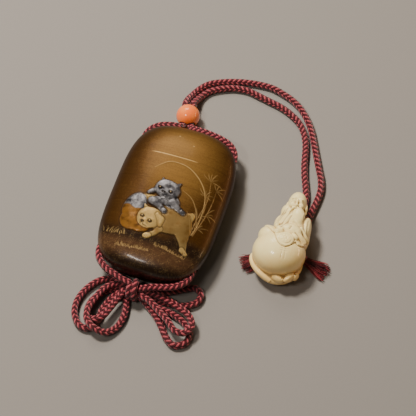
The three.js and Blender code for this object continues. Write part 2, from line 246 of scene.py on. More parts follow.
def finish_piece(
    piece: bpy.types.Object, name: str, material: bpy.types.Material,
    nodes: Iterable[str], smooth_angle: float,
) -> bpy.types.Object:
    """Name a piece, dress it, shade it, and tie it to the frame.

    Args:
        piece: The finished object.
        name: Its name.
        material: Its material.
        nodes: The CAD nodes that it stands for.
        smooth_angle: Edges sharper than this, in degrees, stay sharp.

    Returns:
        The same piece.
    """
    activate(piece)
    piece.name = piece.data.name = name
    piece.data.materials.clear()
    piece.data.materials.append(material)
    bpy.ops.object.shade_smooth_by_angle(angle=math.radians(smooth_angle))
    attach(piece, BODY)
    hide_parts(*nodes)
    LOG.info("%s: %d faces", name, len(piece.data.polygons))
    deselect()
    return piece


def smoothstep(low: float, high: float, value: np.ndarray) -> np.ndarray:
    """A soft step from 0 at low to 1 at high."""
    t = np.clip((value - low) / (high - low), 0, 1)
    return t * t * (3 - 2 * t)


def line_distance(x: np.ndarray, y: np.ndarray, route: Sequence[Point]) -> tuple[np.ndarray, np.ndarray]:
    """Distance of points to a line of straight stretches, and how far along it they lie.

    Args:
        x: Places across.
        y: Places along.
        route: The line's corners.

    Returns:
        The distance, and the share of the line's length from 0 to 1.
    """
    corners = np.array(route, dtype=float)
    steps = np.diff(corners, axis=0)
    lengths = np.hypot(*steps.T)
    starts = np.concatenate([[0], np.cumsum(lengths)])
    best = np.full(x.shape, np.inf)
    along = np.zeros(x.shape)
    for corner, step, length, start in zip(corners[:-1], steps, lengths, starts[:-1]):
        t = np.clip(((x - corner[0]) * step[0] + (y - corner[1]) * step[1]) / length**2, 0, 1)
        distance = np.hypot(x - corner[0] - t * step[0], y - corner[1] - t * step[1])
        nearer = distance < best
        best = np.where(nearer, distance, best)
        along = np.where(nearer, (start + t * length) / starts[-1], along)
    return best, along


SPAN_POINTS = 24


def smooth_route(points: Sequence[Point], step: float) -> np.ndarray:
    """Points at even steps along one smooth curve through the given points.

    Args:
        points: The route's points.
        step: The distance between the points that come back.

    Returns:
        An array of three columns, or of two for a flat route.
    """
    knots = np.array(points, dtype=float)
    padded = np.vstack([2 * knots[0] - knots[1], knots, 2 * knots[-1] - knots[-2]])
    pieces = []
    for a, b, c, d in zip(padded[:-3], padded[1:-2], padded[2:-1], padded[3:]):
        gaps = np.array([np.linalg.norm(v) ** 0.5 for v in (b - a, c - b, d - c)])
        t0, t1 = 0.0, gaps[0]
        t2, t3 = t1 + gaps[1], t1 + gaps[1] + gaps[2]
        t = np.linspace(t1, t2, SPAN_POINTS, endpoint=False)[:, None]
        ab = (t1 - t) / (t1 - t0) * a + (t - t0) / (t1 - t0) * b
        bc = (t2 - t) / (t2 - t1) * b + (t - t1) / (t2 - t1) * c
        cd = (t3 - t) / (t3 - t2) * c + (t - t2) / (t3 - t2) * d
        abc = (t2 - t) / (t2 - t0) * ab + (t - t0) / (t2 - t0) * bc
        bcd = (t3 - t) / (t3 - t1) * bc + (t - t1) / (t3 - t1) * cd
        pieces.append((t2 - t) / (t2 - t1) * abc + (t - t1) / (t2 - t1) * bcd)
    dense = np.vstack([*pieces, knots[-1:]])
    travelled = np.concatenate([[0], np.cumsum(np.linalg.norm(np.diff(dense, axis=0), axis=1))])
    count = max(2, round(travelled[-1] / step) + 1)
    at = np.linspace(0, travelled[-1], count)
    return np.stack([np.interp(at, travelled, column) for column in dense.T], axis=1)


def carried_frames(line: np.ndarray) -> np.ndarray:
    """Two directions across a line at each point, carried along it without twist.

    Args:
        line: The line's points.

    Returns:
        For each point, two unit vectors square to the line and to each other.
    """
    tangents = np.gradient(line, axis=0)
    tangents /= np.linalg.norm(tangents, axis=1)[:, None]
    across = np.cross(tangents[0], (0, 0, 1.0))
    if np.linalg.norm(across) < 0.1:  # the line starts upright
        across = np.cross(tangents[0], (1.0, 0, 0))
    frames = np.empty((len(line), 2, 3))
    for i, tangent in enumerate(tangents):
        across = across - tangent * (across @ tangent)
        across = across / np.linalg.norm(across)
        frames[i] = across, np.cross(tangent, across)
    return frames


# Shader maths
Operand = Union["Socket", float]


class Socket:
    """A shader socket that takes part in Python expressions, each adding a Math node."""

    def __init__(self, sheet: "Finish", link: bpy.types.NodeSocket) -> None:
        """Wrap one output socket of a finish's node tree."""
        self.sheet = sheet
        self.link = link

    def _math(self, operation: str, *others: Operand, flipped: bool = False) -> "Socket":
        """Add one Math node on this socket and others."""
        values = (*others, self) if flipped else (self, *others)
        return self.sheet.add("ShaderNodeMath", {"operation": operation}, dict(enumerate(values)))

    def __add__(self, other: Operand) -> "Socket":
        """Sum of two values."""
        return self._math("ADD", other)

    __radd__ = __add__

    def __sub__(self, other: Operand) -> "Socket":
        """Difference of two values."""
        return self._math("SUBTRACT", other)

    def __rsub__(self, other: Operand) -> "Socket":
        """Difference, with the number on the left."""
        return self._math("SUBTRACT", other, flipped=True)

    def __mul__(self, other: Operand) -> "Socket":
        """Product of two values."""
        return self._math("MULTIPLY", other)

    __rmul__ = __mul__

    def __truediv__(self, other: Operand) -> "Socket":
        """Quotient of two values."""
        return self._math("DIVIDE", other)

    def __pow__(self, other: Operand) -> "Socket":
        """This value to a power."""
        return self._math("POWER", other)

    def above(self, other: Operand) -> "Socket":
        """The larger of two values."""
        return self._math("MAXIMUM", other)

    def size(self) -> "Socket":
        """The value without its sign."""
        return self._math("ABSOLUTE")

    def fraction(self) -> "Socket":
        """What is left of the value past its whole part."""
        return self._math("FRACT")

    def whole(self) -> "Socket":
        """The whole number at or under the value."""
        return self._math("FLOOR")

    def wave(self) -> "Socket":
        """Sine of the value."""
        return self._math("SINE")

    def step(self, low: float, high: float) -> "Socket":
        """A soft step from 0 at low to 1 at high."""
        settings = {"interpolation_type": "SMOOTHSTEP"}
        return self.sheet.add("ShaderNodeMapRange", settings, {0: self, 1: low, 2: high}, "Result")


class Finish:
    """One material's node tree, with the few node shapes that the finishes here share."""

    def __init__(self, name: str, **constants: object) -> None:
        """Start a material with one Principled shader and its constant values.

        Args:
            name: The material's name.
            constants: Values of the shader's sockets, by name with _ for a space.
        """
        self.material = bpy.data.materials.new(name)
        self.material.use_nodes = True
        self.tree = self.material.node_tree
        self.shader = self.tree.nodes["Principled BSDF"]
        for key, value in constants.items():
            self.shader.inputs[key.replace("_", " ")].default_value = value

    def add(
        self, kind: str, settings: dict[str, object], values: dict, output: Union[int, str] = 0
    ) -> Socket:
        """Add any node.

        Args:
            kind: The node's type.
            settings: Its own settings, set first.
            values: Values or links of its input sockets, by name or number.
            output: Which output comes back.

        Returns:
            That output, wrapped.
        """
        node = self.tree.nodes.new(kind)
        for key, value in settings.items():
            setattr(node, key, value)
        for key, value in values.items():
            if isinstance(value, Socket):
                self.tree.links.new(value.link, node.inputs[key])
            elif isinstance(value, tuple) and len(value) == 3 and node.inputs[key].type == "RGBA":
                node.inputs[key].default_value = (*value, 1)
            else:
                node.inputs[key].default_value = value
        return Socket(self, node.outputs[output])

    def feed(self, **links: Socket) -> None:
        """Link values to the Principled shader's sockets, by name with _ for a space."""
        for key, value in links.items():
            self.tree.links.new(value.link, self.shader.inputs[key.replace("_", " ")])

    def place(self) -> Socket:
        """Object coordinates, in metres."""
        return self.add("ShaderNodeTexCoord", {}, {}, "Object")

    def axis(self, vector: Socket, name: str) -> Socket:
        """One component of a vector."""
        return self.add("ShaderNodeSeparateXYZ", {}, {0: vector}, name)

    def attribute(self, name: str) -> Socket:
        """A number that the mesh holds for each vertex."""
        return self.add("ShaderNodeAttribute", {"attribute_name": name}, {}, "Fac")

    def noise(self, vector: Socket, scale: float, detail: float = 3, roughness: float = 0.5) -> Socket:
        """Soft noise from 0 to 1, with its scale in waves a metre."""
        values = {"Vector": vector, "Scale": scale, "Detail": detail, "Roughness": roughness}
        return self.add("ShaderNodeTexNoise", {}, values)

    def stretched(self, vector: Socket, scale: Point) -> Socket:
        """Coordinates stretched along the axes."""
        return self.add("ShaderNodeMapping", {}, {"Vector": vector, "Scale": tuple(scale)})

    def cells(self, vector: Socket, scale: float, output: str = "Distance") -> Socket:
        """Cells of random dots, with their scale in cells a metre."""
        return self.add("ShaderNodeTexVoronoi", {}, {"Vector": vector, "Scale": scale}, output)

    def mix(self, factor: Operand, first: Union[Socket, Colour], second: Union[Socket, Colour]) -> Socket:
        """Blend two colours by a factor."""
        settings = {"data_type": "RGBA", "clamp_factor": True}
        return self.add("ShaderNodeMix", settings, {0: factor, 6: first, 7: second}, 2)

    def bump(self, height: Socket, distance: float, strength: float = 1.0) -> Socket:
        """A surface normal from a height, whose full depth is given in metres."""
        return self.add("ShaderNodeBump", {}, {"Height": height, "Distance": distance, "Strength": strength})


@dataclass(frozen=True)
class GoldLacquer:
    """Gold-dust lacquer with a dark ground below, inlaid relief and worn joints, a painted highlight over the
    front and painted shade down the sides.
    """

    gold: Colour = (0.086, 0.033, 0.005)
    highlight_and_fleck_gold: Colour = (0.262, 0.131, 0.028)
    brown: Colour = (0.022, 0.007, 0.0015)
    ground: Colour = (0.02, 0.009, 0.004)
    copper: Colour = (0.17, 0.08, 0.034)
    shadow: Colour = (0.01, 0.005, 0.003)
    silver: Colour = (0.34, 0.32, 0.325)
    silver_dark: Colour = (0.05, 0.046, 0.052)
    pale_gold: Colour = (0.55, 0.36, 0.12)
    orange: Colour = (0.29, 0.125, 0.022)
    line: Colour = (0.62, 0.4, 0.15)
    inside: Colour = (0.17, 0.045, 0.018)
    # Centre and reach of the painted highlight on the front, in millimetres.
    painted_highlight_centre: Point = (3, 22)
    painted_highlight_reach: float = 620
    ground_edge: Point = (-26.0, -19.0)
    band: float = -33.0
    band_half: float = 6.5
    wear_middle: float = -3
    wear_half: float = 13
    dust_depth: float = 0.00003

    def build(self) -> bpy.types.Material:
        """Make the material.

        Returns:
            The material.
        """
        finish = Finish("gold_lacquer", Coat_Roughness=0.12, Specular_IOR_Level=0.35)
        place = finish.place()
        x, y, z = (finish.axis(place, name) / MM for name in "XYZ")
        dust = finish.cells(place, 3600).step(0.1, 0.42)
        fine = finish.noise(place, 5200, 2)
        cloud = finish.noise(place, 75, 3)
        mottle = finish.noise(place, 1250, 3, 0.7)
        streak = finish.noise(finish.stretched(place, (34, 260, 80)), 1, 3)
        brushed = finish.noise(finish.stretched(place, (60, 1500, 300)), 1, 3, 0.6)
        # Painted shade: the sides turn brown below the front's plateau, as they fall away from the light.
        painted_lit_front = (z + (cloud - 0.5) * 2.6).step(13.5, 22.2)
        right, up = x - self.painted_highlight_centre[0], y - self.painted_highlight_centre[1]
        # Painted highlight: a broad pool of light gold centred above the pups, mixed with the lacquer's real
        # mottle, streaks and brushing.
        middle = 1 - ((right * right + up * up * 0.5) / self.painted_highlight_reach).step(0.0, 1.0)
        light = middle * 0.86 + (streak - 0.5) * 0.45 + (mottle - 0.5) * 0.9 + (brushed - 0.5) * 0.5
        light = light * painted_lit_front
        gold = finish.mix(light, finish.mix(painted_lit_front, self.brown, self.gold), self.highlight_and_fleck_gold)
        gold = finish.mix((fine - 0.42) * 0.5, gold, self.highlight_and_fleck_gold)
        gold = finish.mix((1 - dust) * 0.3, gold, self.brown)

        border = y + x * -0.05 + (finish.noise(place, 130, 4) - 0.5) * 8
        below = 1 - border.step(*self.ground_edge)
        fleck = finish.cells(place, 2500)
        flecks = (1 - fleck.step(0.14, 0.4)) * finish.noise(place, 420, 3).step(0.38, 0.62)
        band = 1 - ((y + x * 0.02 - self.band) / self.band_half).size().step(0.2, 1.0)
        ground = finish.mix(flecks * (0.35 + band * 0.5), self.ground, self.line)
        ground = finish.mix(band * mottle * 0.9, ground, self.copper)
        colour = finish.mix(below, gold, ground)

        silver, pale, orange, line, recess, lining = (finish.attribute(inlay.value) for inlay in Inlay)
        wear = finish.noise(place, 340, 4)
        colour = finish.mix(silver, colour, finish.mix(wear.step(0.3, 0.66), self.silver_dark, self.silver))
        colour = finish.mix(orange, colour, finish.mix(wear.step(0.2, 0.6), self.gold, self.orange))
        colour = finish.mix(pale, colour, finish.mix(wear.step(0.1, 0.55), self.orange, self.pale_gold))
        # Painted shade in the cut lines around the forms and in the grooves; the same mark also darkens the
        # eyes and noses.
        colour = finish.mix(recess * 0.92, colour, self.shadow)
        joint = 1 - (y - FORM.joints[0]).size().step(0.12, 0.34)
        worn = joint * (1 - ((x - self.wear_middle) / self.wear_half).size().step(0.7, 1.0))
        worn = worn * finish.noise(place, 300, 2).step(0.3, 0.46)
        colour = finish.mix(line.above(worn) * 0.9, colour, self.line)

        inner = finish.mix((1 - fleck.step(0.14, 0.34)) * 0.9, self.inside, self.highlight_and_fleck_gold)
        metal = (0.62 - below * 0.25 + silver * 0.24 - recess * 0.4).above(0.0)
        finish.feed(Base_Color=finish.mix(lining, colour, inner), Metallic=metal * (1 - lining))
        scratch = finish.noise(finish.stretched(place, (900, 120, 300)), 1, 2)
        rough = 0.32 + fine * 0.14 + (1 - dust) * 0.08 - below * 0.1 + scratch * 0.06 - silver * 0.06
        finish.feed(Roughness=rough, Coat_Weight=0.06 + below * 0.24)
        height = fine * 0.4 + dust * 0.3 + flecks * below * 0.6 + scratch * 0.2
        finish.feed(Normal=finish.bump(height, self.dust_depth, 0.6))
        return finish.material


@dataclass(frozen=True)
class Coral:
    """Polished orange coral with faint growth bands."""

    colour: Colour = (0.96, 0.17, 0.025)
    pale: Colour = (0.97, 0.25, 0.05)
    deep: Colour = (0.55, 0.07, 0.02)

    def build(self) -> bpy.types.Material:
        """Make the material.

        Returns:
            The material.
        """
        finish = Finish("coral", Coat_Weight=0.5, Coat_Roughness=0.05, Subsurface_Weight=0.0)
        place = finish.place()
        cloud = finish.noise(place, 190, 4)
        bands = finish.noise(finish.stretched(place, (120, 900, 120)), 1, 3)
        pores = 1 - finish.cells(place, 1700).step(0.05, 0.16)
        rare = finish.noise(place, 420, 2).step(0.6, 0.68)
        colour = finish.mix(cloud.step(0.35, 0.68), self.colour, self.pale)
        colour = finish.mix((bands - 0.45) * 0.8, colour, self.pale)
        colour = finish.mix(pores * rare * 0.7, colour, self.deep)
        finish.feed(Base_Color=colour, Roughness=0.16 + cloud * 0.08 + pores * rare * 0.3)
        finish.feed(Normal=finish.bump(bands * 0.3 - pores * rare, 0.00004, 0.5))
        return finish.material


@dataclass(frozen=True)
class Ivory:
    """Old ivory: cream, with painted honey shade towards its lower right and painted brown shade near the
    table; stained brown in its recesses.
    """

    cream: Colour = (1.0, 0.81, 0.36)
    honey_grain_and_shade: Colour = (0.93, 0.54, 0.15)
    stain_and_low_shade: Colour = (0.36, 0.17, 0.045)
    dark: Colour = (0.1, 0.04, 0.012)

    def build(self) -> bpy.types.Material:
        """Make the material.

        Returns:
            The material.
        """
        finish = Finish("ivory", Coat_Weight=0.7, Coat_Roughness=0.12, Subsurface_Weight=0.0)
        place = finish.place()
        x, y, z = (finish.axis(place, name) / MM for name in "XYZ")
        # Painted shade: honey towards the lower right and down the low sides, where less light falls, with
        # real cloudy tone mixed in.
        low = 1 - (y * 0.6 - x * 0.55 + z * 0.9).step(-46.0, -14.0)
        grain = finish.noise(finish.stretched(place, (800, 90, 500)), 1, 4)
        cloud = finish.noise(place, 130, 4)
        recess = finish.attribute("recess")
        groove = finish.attribute("groove")
        colour = finish.mix(low * 0.75 + (cloud - 0.5) * 0.9, self.cream, self.honey_grain_and_shade)
        colour = finish.mix((grain - 0.5) * 0.8, colour, self.honey_grain_and_shade)
        # Painted shade: brown near the table.
        colour = finish.mix((1 - z.step(0.5, 5.5)) * 0.7, colour, self.stain_and_low_shade)
        colour = finish.mix(recess.step(0.2, 1.0) * (0.3 + cloud * 0.55), colour, self.stain_and_low_shade)
        colour = finish.mix(groove.step(0.45, 1.2) * 0.3, colour, self.dark)
        finish.feed(Base_Color=colour, Roughness=0.3 + recess * 0.25 + grain * 0.08)
        finish.feed(Normal=finish.bump(grain + cloud, 0.00004, 0.35))
        return finish.material


@dataclass(frozen=True)
class BraidedSilk:
    """Braided silk in two colours, with painted light on the stitches' crowns and painted shade in their
    gaps, on coordinates that count its columns and its stitches.
    """

    shade_and_fuzz_maroon: Colour = (0.026, 0.003, 0.005)
    rose: Colour = (0.52, 0.09, 0.105)
    wine: Colour = (0.07, 0.007, 0.011)
    slant: float = 1.4

    def build(self) -> bpy.types.Material:
        """Make the material.

        Returns:
            The material.
        """
        finish = Finish("braided_silk", Sheen_Weight=0.25, Sheen_Roughness=0.4, Roughness=0.6)
        strands = finish.add("ShaderNodeUVMap", {"uv_map": "UVMap"}, {})
        around, along = finish.axis(strands, "X"), finish.axis(strands, "Y")
        across = around.fraction()
        mirrored = (around.whole() * 0.5).fraction() * 2
        stitches = along + (across - 0.5) * (1 - 2 * mirrored) * self.slant + mirrored * 0.5
        run = stitches.fraction()
        pale = 1 - (stitches.whole() * 0.5).fraction() * 2
        crown = (1 - ((run - 0.5) * 2).size() ** 2.4) * (1 - ((across - 0.5) * 2).size() ** 3.4)
        fibre = (run * 38).wave() * 0.5 + 0.5
        fuzz = finish.noise(finish.place(), 2600, 3)
        # Painted light and shade: the strands show their colours on the crowns of the stitches only, and the
        # gaps between them are painted dark.
        lit = crown.step(0.14, 0.62)
        thread = finish.mix(pale * (0.75 + fibre * 0.25), self.wine, self.rose)
        colour = finish.mix(lit, self.shade_and_fuzz_maroon, thread)
        colour = finish.mix((fuzz - 0.5) * 0.5, colour, self.shade_and_fuzz_maroon)
        finish.feed(Base_Color=colour)
        finish.feed(Normal=finish.bump(crown * 0.6 + fibre * crown * 0.35 + fuzz * 0.2, 0.00025, 0.7))
        return finish.material


@dataclass(frozen=True)
class FrayedSilk:
    """Loose silk threads in dark red, lit along their length."""

    dark: Colour = (0.02, 0.003, 0.004)
    red: Colour = (0.46, 0.055, 0.066)

    def build(self) -> bpy.types.Material:
        """Make the material.

        Returns:
            The material.
        """
        finish = Finish("frayed_silk", Sheen_Weight=0.4, Sheen_Roughness=0.35, Roughness=0.55)
        place = finish.place()
        thread = finish.attribute("thread")
        fine = finish.noise(place, 3800, 2)
        colour = finish.mix(thread * thread + (fine - 0.5) * 0.5, self.dark, self.red)
        finish.feed(Base_Color=colour, Normal=finish.bump(fine, 0.0001, 0.4))
        return finish.material


@dataclass(frozen=True)
class PaleFloor:
    """A plain pale floor."""

    colour: Colour = (0.245, 0.222, 0.2)

    def build(self) -> bpy.types.Material:
        """Make the material.

        Returns:
            The material.
        """
        finish = Finish("pale_floor", Roughness=0.8, Specular_IOR_Level=0.2)
        grain = finish.noise(finish.place(), 900, 3)
        pale = tuple(min(1.0, 1.05 * part) for part in self.colour)
        finish.feed(Base_Color=finish.mix(grain, self.colour, pale))
        return finish.material


@dataclass(frozen=True)
class Lamp:
    """One soft light: where it stands, its size in metres, its power in watts and its colour."""

    azimuth: float
    elevation: float
    distance: float
    size: tuple[float, float]
    power: float
    glossy: bool = True
    colour: Colour = (1.0, 0.95, 0.87)


@dataclass
class Studio:
    """The floor, the soft lights and the camera at the photograph's angle."""

    azimuth: float = 18.2
    elevation: float = 61.0
    distance: float = 0.9
    target: Point = (0.0177, 0.0099, 0.0)
    lens: float = 155.8
    floor_size: float = 6.0
    sky_colour: Colour = (1.0, 0.93, 0.86)
    sky_strength: float = 0.075

    KEY = Lamp(-118, 60, 0.9, (0.17, 0.17), 12.5, glossy=False)
    FILL = Lamp(-150, 44, 0.95, (0.42, 0.34), 2.6)
    FRONT = Lamp(-34, 60, 0.9, (0.2, 0.07), 1.7)
    EDGE = Lamp(118, 12, 0.8, (0.6, 0.06), 1.3, colour=(1.0, 0.66, 0.34))

    def _back(self, azimuth: float, elevation: float) -> Vector:
        """The direction from the object to something seen at these angles."""
        turn, rise = math.radians(azimuth), math.radians(elevation)
        return Vector((math.sin(turn) * math.cos(rise), -math.cos(turn) * math.cos(rise), math.sin(rise)))

    def camera(self) -> None:
        """Make the camera and use it."""
        bpy.ops.object.camera_add()
        eye = bpy.context.object
        back = self._back(self.azimuth, self.elevation)
        eye.location = Vector(self.target) + self.distance * back
        eye.rotation_euler = (-back).to_track_quat("-Z", "Y").to_euler()
        eye.data.lens = self.lens
        eye.data.sensor_width = 36
        eye.data.clip_start, eye.data.clip_end = 0.05, 50
        bpy.context.scene.camera = eye

    def light(self, lamp: Lamp) -> None:
        """Add one soft light that faces the object.

        Args:
            lamp: The light.
        """
        back = self._back(lamp.azimuth, lamp.elevation)
        bpy.ops.object.light_add(type="AREA")
        light = bpy.context.object
        light.location = Vector(self.target) + lamp.distance * back
        light.rotation_euler = (-back).to_track_quat("-Z", "Y").to_euler()
        light.data.shape = "RECTANGLE"
        light.data.size, light.data.size_y = lamp.size
        light.data.energy = lamp.power
        light.visible_glossy = lamp.glossy
        light.data.color = lamp.colour

    def floor(self) -> None:
        """Lay the floor."""
        bpy.ops.mesh.primitive_plane_add(size=self.floor_size)
        floor = bpy.context.object
        floor.name = "floor"
        floor.data.materials.append(PaleFloor().build())
        deselect()

    def sky(self) -> None:
        """Give the world an even pale light."""
        world = bpy.data.worlds.new("studio")
        bpy.context.scene.world = world
        world.use_nodes = True
        light = world.node_tree.nodes["Background"]
        light.inputs["Color"].default_value = (*self.sky_colour, 1)
        light.inputs["Strength"].default_value = self.sky_strength


# Cord routes, as in the solids: points along the cord's middle, in millimetres
OUTER_STRAND = [
    [-10.8, 59.3, 6], [-11.3, 61.6, 5.7], [-11.2, 65.3, 4.2], [-10.2, 69.6, 2.3], [-7.9, 74.6, 1.8],
    [-4.1, 79, 1.8], [1.5, 82, 1.8], [8, 84.4, 1.8], [14.1, 85.9, 1.8], [20.8, 86.8, 1.8],
    [27.3, 86.8, 1.8], [33.8, 85.1, 1.8], [40, 82.6, 1.8], [45.2, 79.2, 1.8], [49.8, 74.4, 1.8],
    [53.9, 68.6, 1.8], [57.3, 62, 1.8], [60.6, 55.1, 1.8], [64, 48.2, 1.8], [67, 42, 1.8],
    [68.6, 36, 1.8], [68.6, 29.8, 1.8], [68, 23.5, 1.8], [67.5, 17, 2], [67.1, 11, 2.4],
    [66.8, 6.5, 2.8],
]
INNER_STRAND = [
    [-7.1, 60.2, 6], [-7.5, 62.2, 5.7], [-7.1, 65.5, 4.2], [-6, 69.4, 2.4], [-3, 74.3, 1.8],
    [2.9, 78.2, 1.8], [9.2, 80.6, 1.8], [16.1, 81.2, 1.8], [22.6, 79.9, 1.8], [28.9, 78.5, 1.8],
    [35.8, 76.8, 1.8], [41.6, 74.2, 1.8], [46.6, 70.9, 1.8], [50.4, 66.4, 1.8], [53.2, 60.9, 1.8],
    [54.9, 55, 1.8], [56.3, 48.8, 1.8], [58.3, 42.1, 1.8], [60.8, 35.6, 1.8], [62.8, 29.9, 1.8],
    [63.4, 24.5, 1.8], [63.3, 18, 2], [62.9, 11.4, 2.4], [62.6, 6.9, 2.8],
]
SHOULDER_RIGHT = [
    [-5.9, 55.1, 6], [-4.6, 49.9, 6], [-3.6, 47.7, 6.8], [-0.6, 46.2, 9.1],
    [4.5, 45.1, 11], [9.5, 44.4, 11.2], [14.2, 43.5, 11.2], [18.6, 41.8, 11.2], [21.7, 39, 11.2],
    [23.3, 35.4, 11.2], [23.6, 30.3, 11.2],
]
SHOULDER_LEFT = [
    [-9.5, 54.1, 6], [-8.3, 49, 6], [-8.2, 47.2, 6.9], [-9.4, 45.4, 9.2],
    [-12.8, 43.9, 10.9], [-18, 41.9, 11.2], [-21.4, 39, 11.2], [-23.2, 35.4, 11.2],
    [-23.6, 30.3, 11.2],
]
FOOT_RIGHT = [
    [23.6, -30.3, 11.2], [23.3, -35.4, 11.2], [21.6, -39.1, 11.2], [18.3, -42, 11.2],
    [14, -43.8, 11], [9.6, -44.8, 10.4], [6, -45.6, 9.6],
]
FOOT_LEFT = [
    [-23.6, -30.3, 11.2], [-23.3, -35.4, 11.2], [-21.6, -39.1, 11.2], [-18.4, -42, 11.2],
    [-14.6, -43.9, 11], [-11, -44.9, 10.7], [-8, -45.7, 10.2],
]
LOOPS_LEFT = [
    [
        [-5.1, -45, 4.4], [-9.5, -43.6, 2.8], [-15.5, -43.6, 1.8], [-20.6, -47, 1.8], [-24.6, -53.4, 1.8],
        [-26.2, -60.6, 1.8], [-24.6, -67.4, 1.8], [-20.2, -71.9, 1.8], [-15.4, -71.6, 1.8],
        [-13.2, -67, 1.8], [-13, -61, 1.8], [-11.4, -55, 1.8], [-8.6, -50.6, 2.6], [-5.1, -48.3, 4.2],
    ],
    [
        [-5.1, -46.4, 5.4], [-10, -46.6, 5.5], [-14.7, -50.4, 5.4], [-17.4, -56.8, 5.3],
        [-18.9, -63.2, 5.3], [-17.6, -69, 5.4], [-13, -72.2, 5.3], [-7.6, -72, 3.2], [-3.6, -67.8, 1.8],
        [-2, -61.6, 1.8], [-2.6, -55.4, 1.8], [-4.3, -51, 2.6], [-5.1, -49.3, 3.6],
    ],
    [
        [-5.1, -48.8, 5.8], [-7, -53.2, 5.5], [-9, -59.8, 5.3], [-11.2, -65.4, 5.3], [-15.6, -67.6, 4],
        [-19.4, -64.2, 1.9], [-19.6, -58.4, 1.8], [-16.6, -52.4, 1.8], [-11.4, -48.4, 2.4],
        [-5.1, -46.7, 4.2],
    ],
]
LOOPS_RIGHT = [
    [
        [2.7, -44.9, 4], [8.6, -43.8, 2.1], [15.2, -41.2, 1.8], [21, -37.8, 1.8], [26, -35.6, 1.8],
        [29.8, -37.8, 1.8], [29.2, -42.6, 1.8], [24.8, -45.9, 1.8], [18.4, -47.3, 1.8], [11, -47.5, 1.8],
        [2.7, -46.9, 2.6],
    ],
    [
        [2.7, -46.9, 5.4], [8.6, -46.3, 5.4], [16, -47.4, 5.3], [23.2, -49.6, 5.3], [28.8, -52.4, 5.3],
        [31.4, -57, 5.3], [29, -61.4, 5.3], [24.4, -61.6, 5.3], [20.4, -58.4, 5.3], [14.2, -54.4, 5.3],
        [8, -50.6, 5.4], [2.7, -49.2, 5.6],
    ],
    [
        [2.7, -49, 3.6], [7.4, -51.6, 1.9], [12.6, -55.4, 1.8], [17, -60, 1.8], [21.2, -65, 1.8],
        [26, -67.6, 1.8], [30.6, -65, 1.8], [31.2, -59.6, 1.8], [27.2, -55, 1.8], [20.4, -52.2, 1.8],
        [12.6, -51, 1.8], [7, -49.4, 2.2], [2.7, -47.9, 4],
    ],
]


@dataclass
class BraidedCord:
    """A round braided cord of one diameter, made along a route."""

    diameter: float = 3.5
    columns: int = 4
    stitch: float = 1.28
    slant: float = 1.4
    step: float = 0.28
    sides: int = 28
    relief: float = 0.32
    end_share: float = 0.6

    def tube(self, route: Sequence[Point]) -> tuple[bpy.types.Object, np.ndarray]:
        """Make the cord's surface, with its crossing strands, around a smooth route.

        Args:
            route: The points that the cord follows.

        Returns:
            The mesh object, and the centreline in millimetres.
        """
        line = smooth_route(route, self.step)
        frames = carried_frames(line)
        travelled = np.concatenate([[0], np.cumsum(np.linalg.norm(np.diff(line, axis=0), axis=1))])
        around = np.arange(self.sides + 1) / self.sides * self.columns
        along = travelled / self.stitch
        bulge = self._bulge(around[None, :-1], along[:, None])
        radius = self.diameter / 2 - self.relief * (1 - bulge)
        radius[[0, -1]] *= self.end_share
        angle = 2 * math.pi * np.arange(self.sides) / self.sides
        ring = np.cos(angle)[None, :, None] * frames[:, None, 0]
        ring = ring + np.sin(angle)[None, :, None] * frames[:, None, 1]
        skin = (line[:, None] + radius[..., None] * ring).reshape(-1, 3)
        faces, corners = self._faces(around, along)
        piece = mesh_piece("cord", np.vstack([skin, line[:1], line[-1:]]), faces)
        layer = piece.data.uv_layers.new(name="UVMap")
        layer.data.foreach_set("uv", np.array(corners, dtype=np.float32).ravel())
        return piece, line

    def _bulge(self, around: np.ndarray, along: np.ndarray) -> np.ndarray:
        """Height of the stitches.

        Args:
            around: Places around the cord, in columns.
            along: Places along it, in stitches.

        Returns:
            The height, from 0 in the gaps to 1 on the crowns.
        """
        across, mirrored = around % 1, np.floor(around) % 2
        run = (along + (across - 0.5) * (1 - 2 * mirrored) * self.slant + mirrored * 0.5) % 1
        return np.sqrt(np.clip(1 - (2 * run - 1) ** 2, 0, 1)) * (1 - 0.7 * np.abs(2 * across - 1) ** 3)

    def _faces(
        self, around: np.ndarray, along: np.ndarray
    ) -> tuple[list[tuple[int, ...]], list[tuple[float, float]]]:
        """The tube's faces, with its closed ends.

        Args:
            around: Places around the cord, in columns.
            along: Places of its rings, in stitches.

        Returns:
            The faces, and the strand coordinates of their corners.
        """
        rows, sides = len(along), self.sides
        faces: list[tuple[int, ...]] = []
        corners: list[tuple[float, float]] = []
        for i in range(rows - 1):
            for j in range(sides):
                k = (j + 1) % sides
                faces.append((i * sides + j, i * sides + k, (i + 1) * sides + k, (i + 1) * sides + j))
                corners += [
                    (around[j], along[i]), (around[j + 1], along[i]),
                    (around[j + 1], along[i + 1]), (around[j], along[i + 1]),
                ]
        first, last = rows * sides, rows * sides + 1
        for j in range(sides):
            k = (j + 1) % sides
            faces.append((first, k, j))
            faces.append((last, (rows - 1) * sides + j, (rows - 1) * sides + k))
            corners += [(around[j], along[0])] * 3 + [(around[j], along[-1])] * 3
        return faces, corners

    @staticmethod
    def length(line: np.ndarray) -> float:
        """The centreline's length in metres."""
        return float(np.linalg.norm(np.diff(line, axis=0), axis=1).sum() * MM)


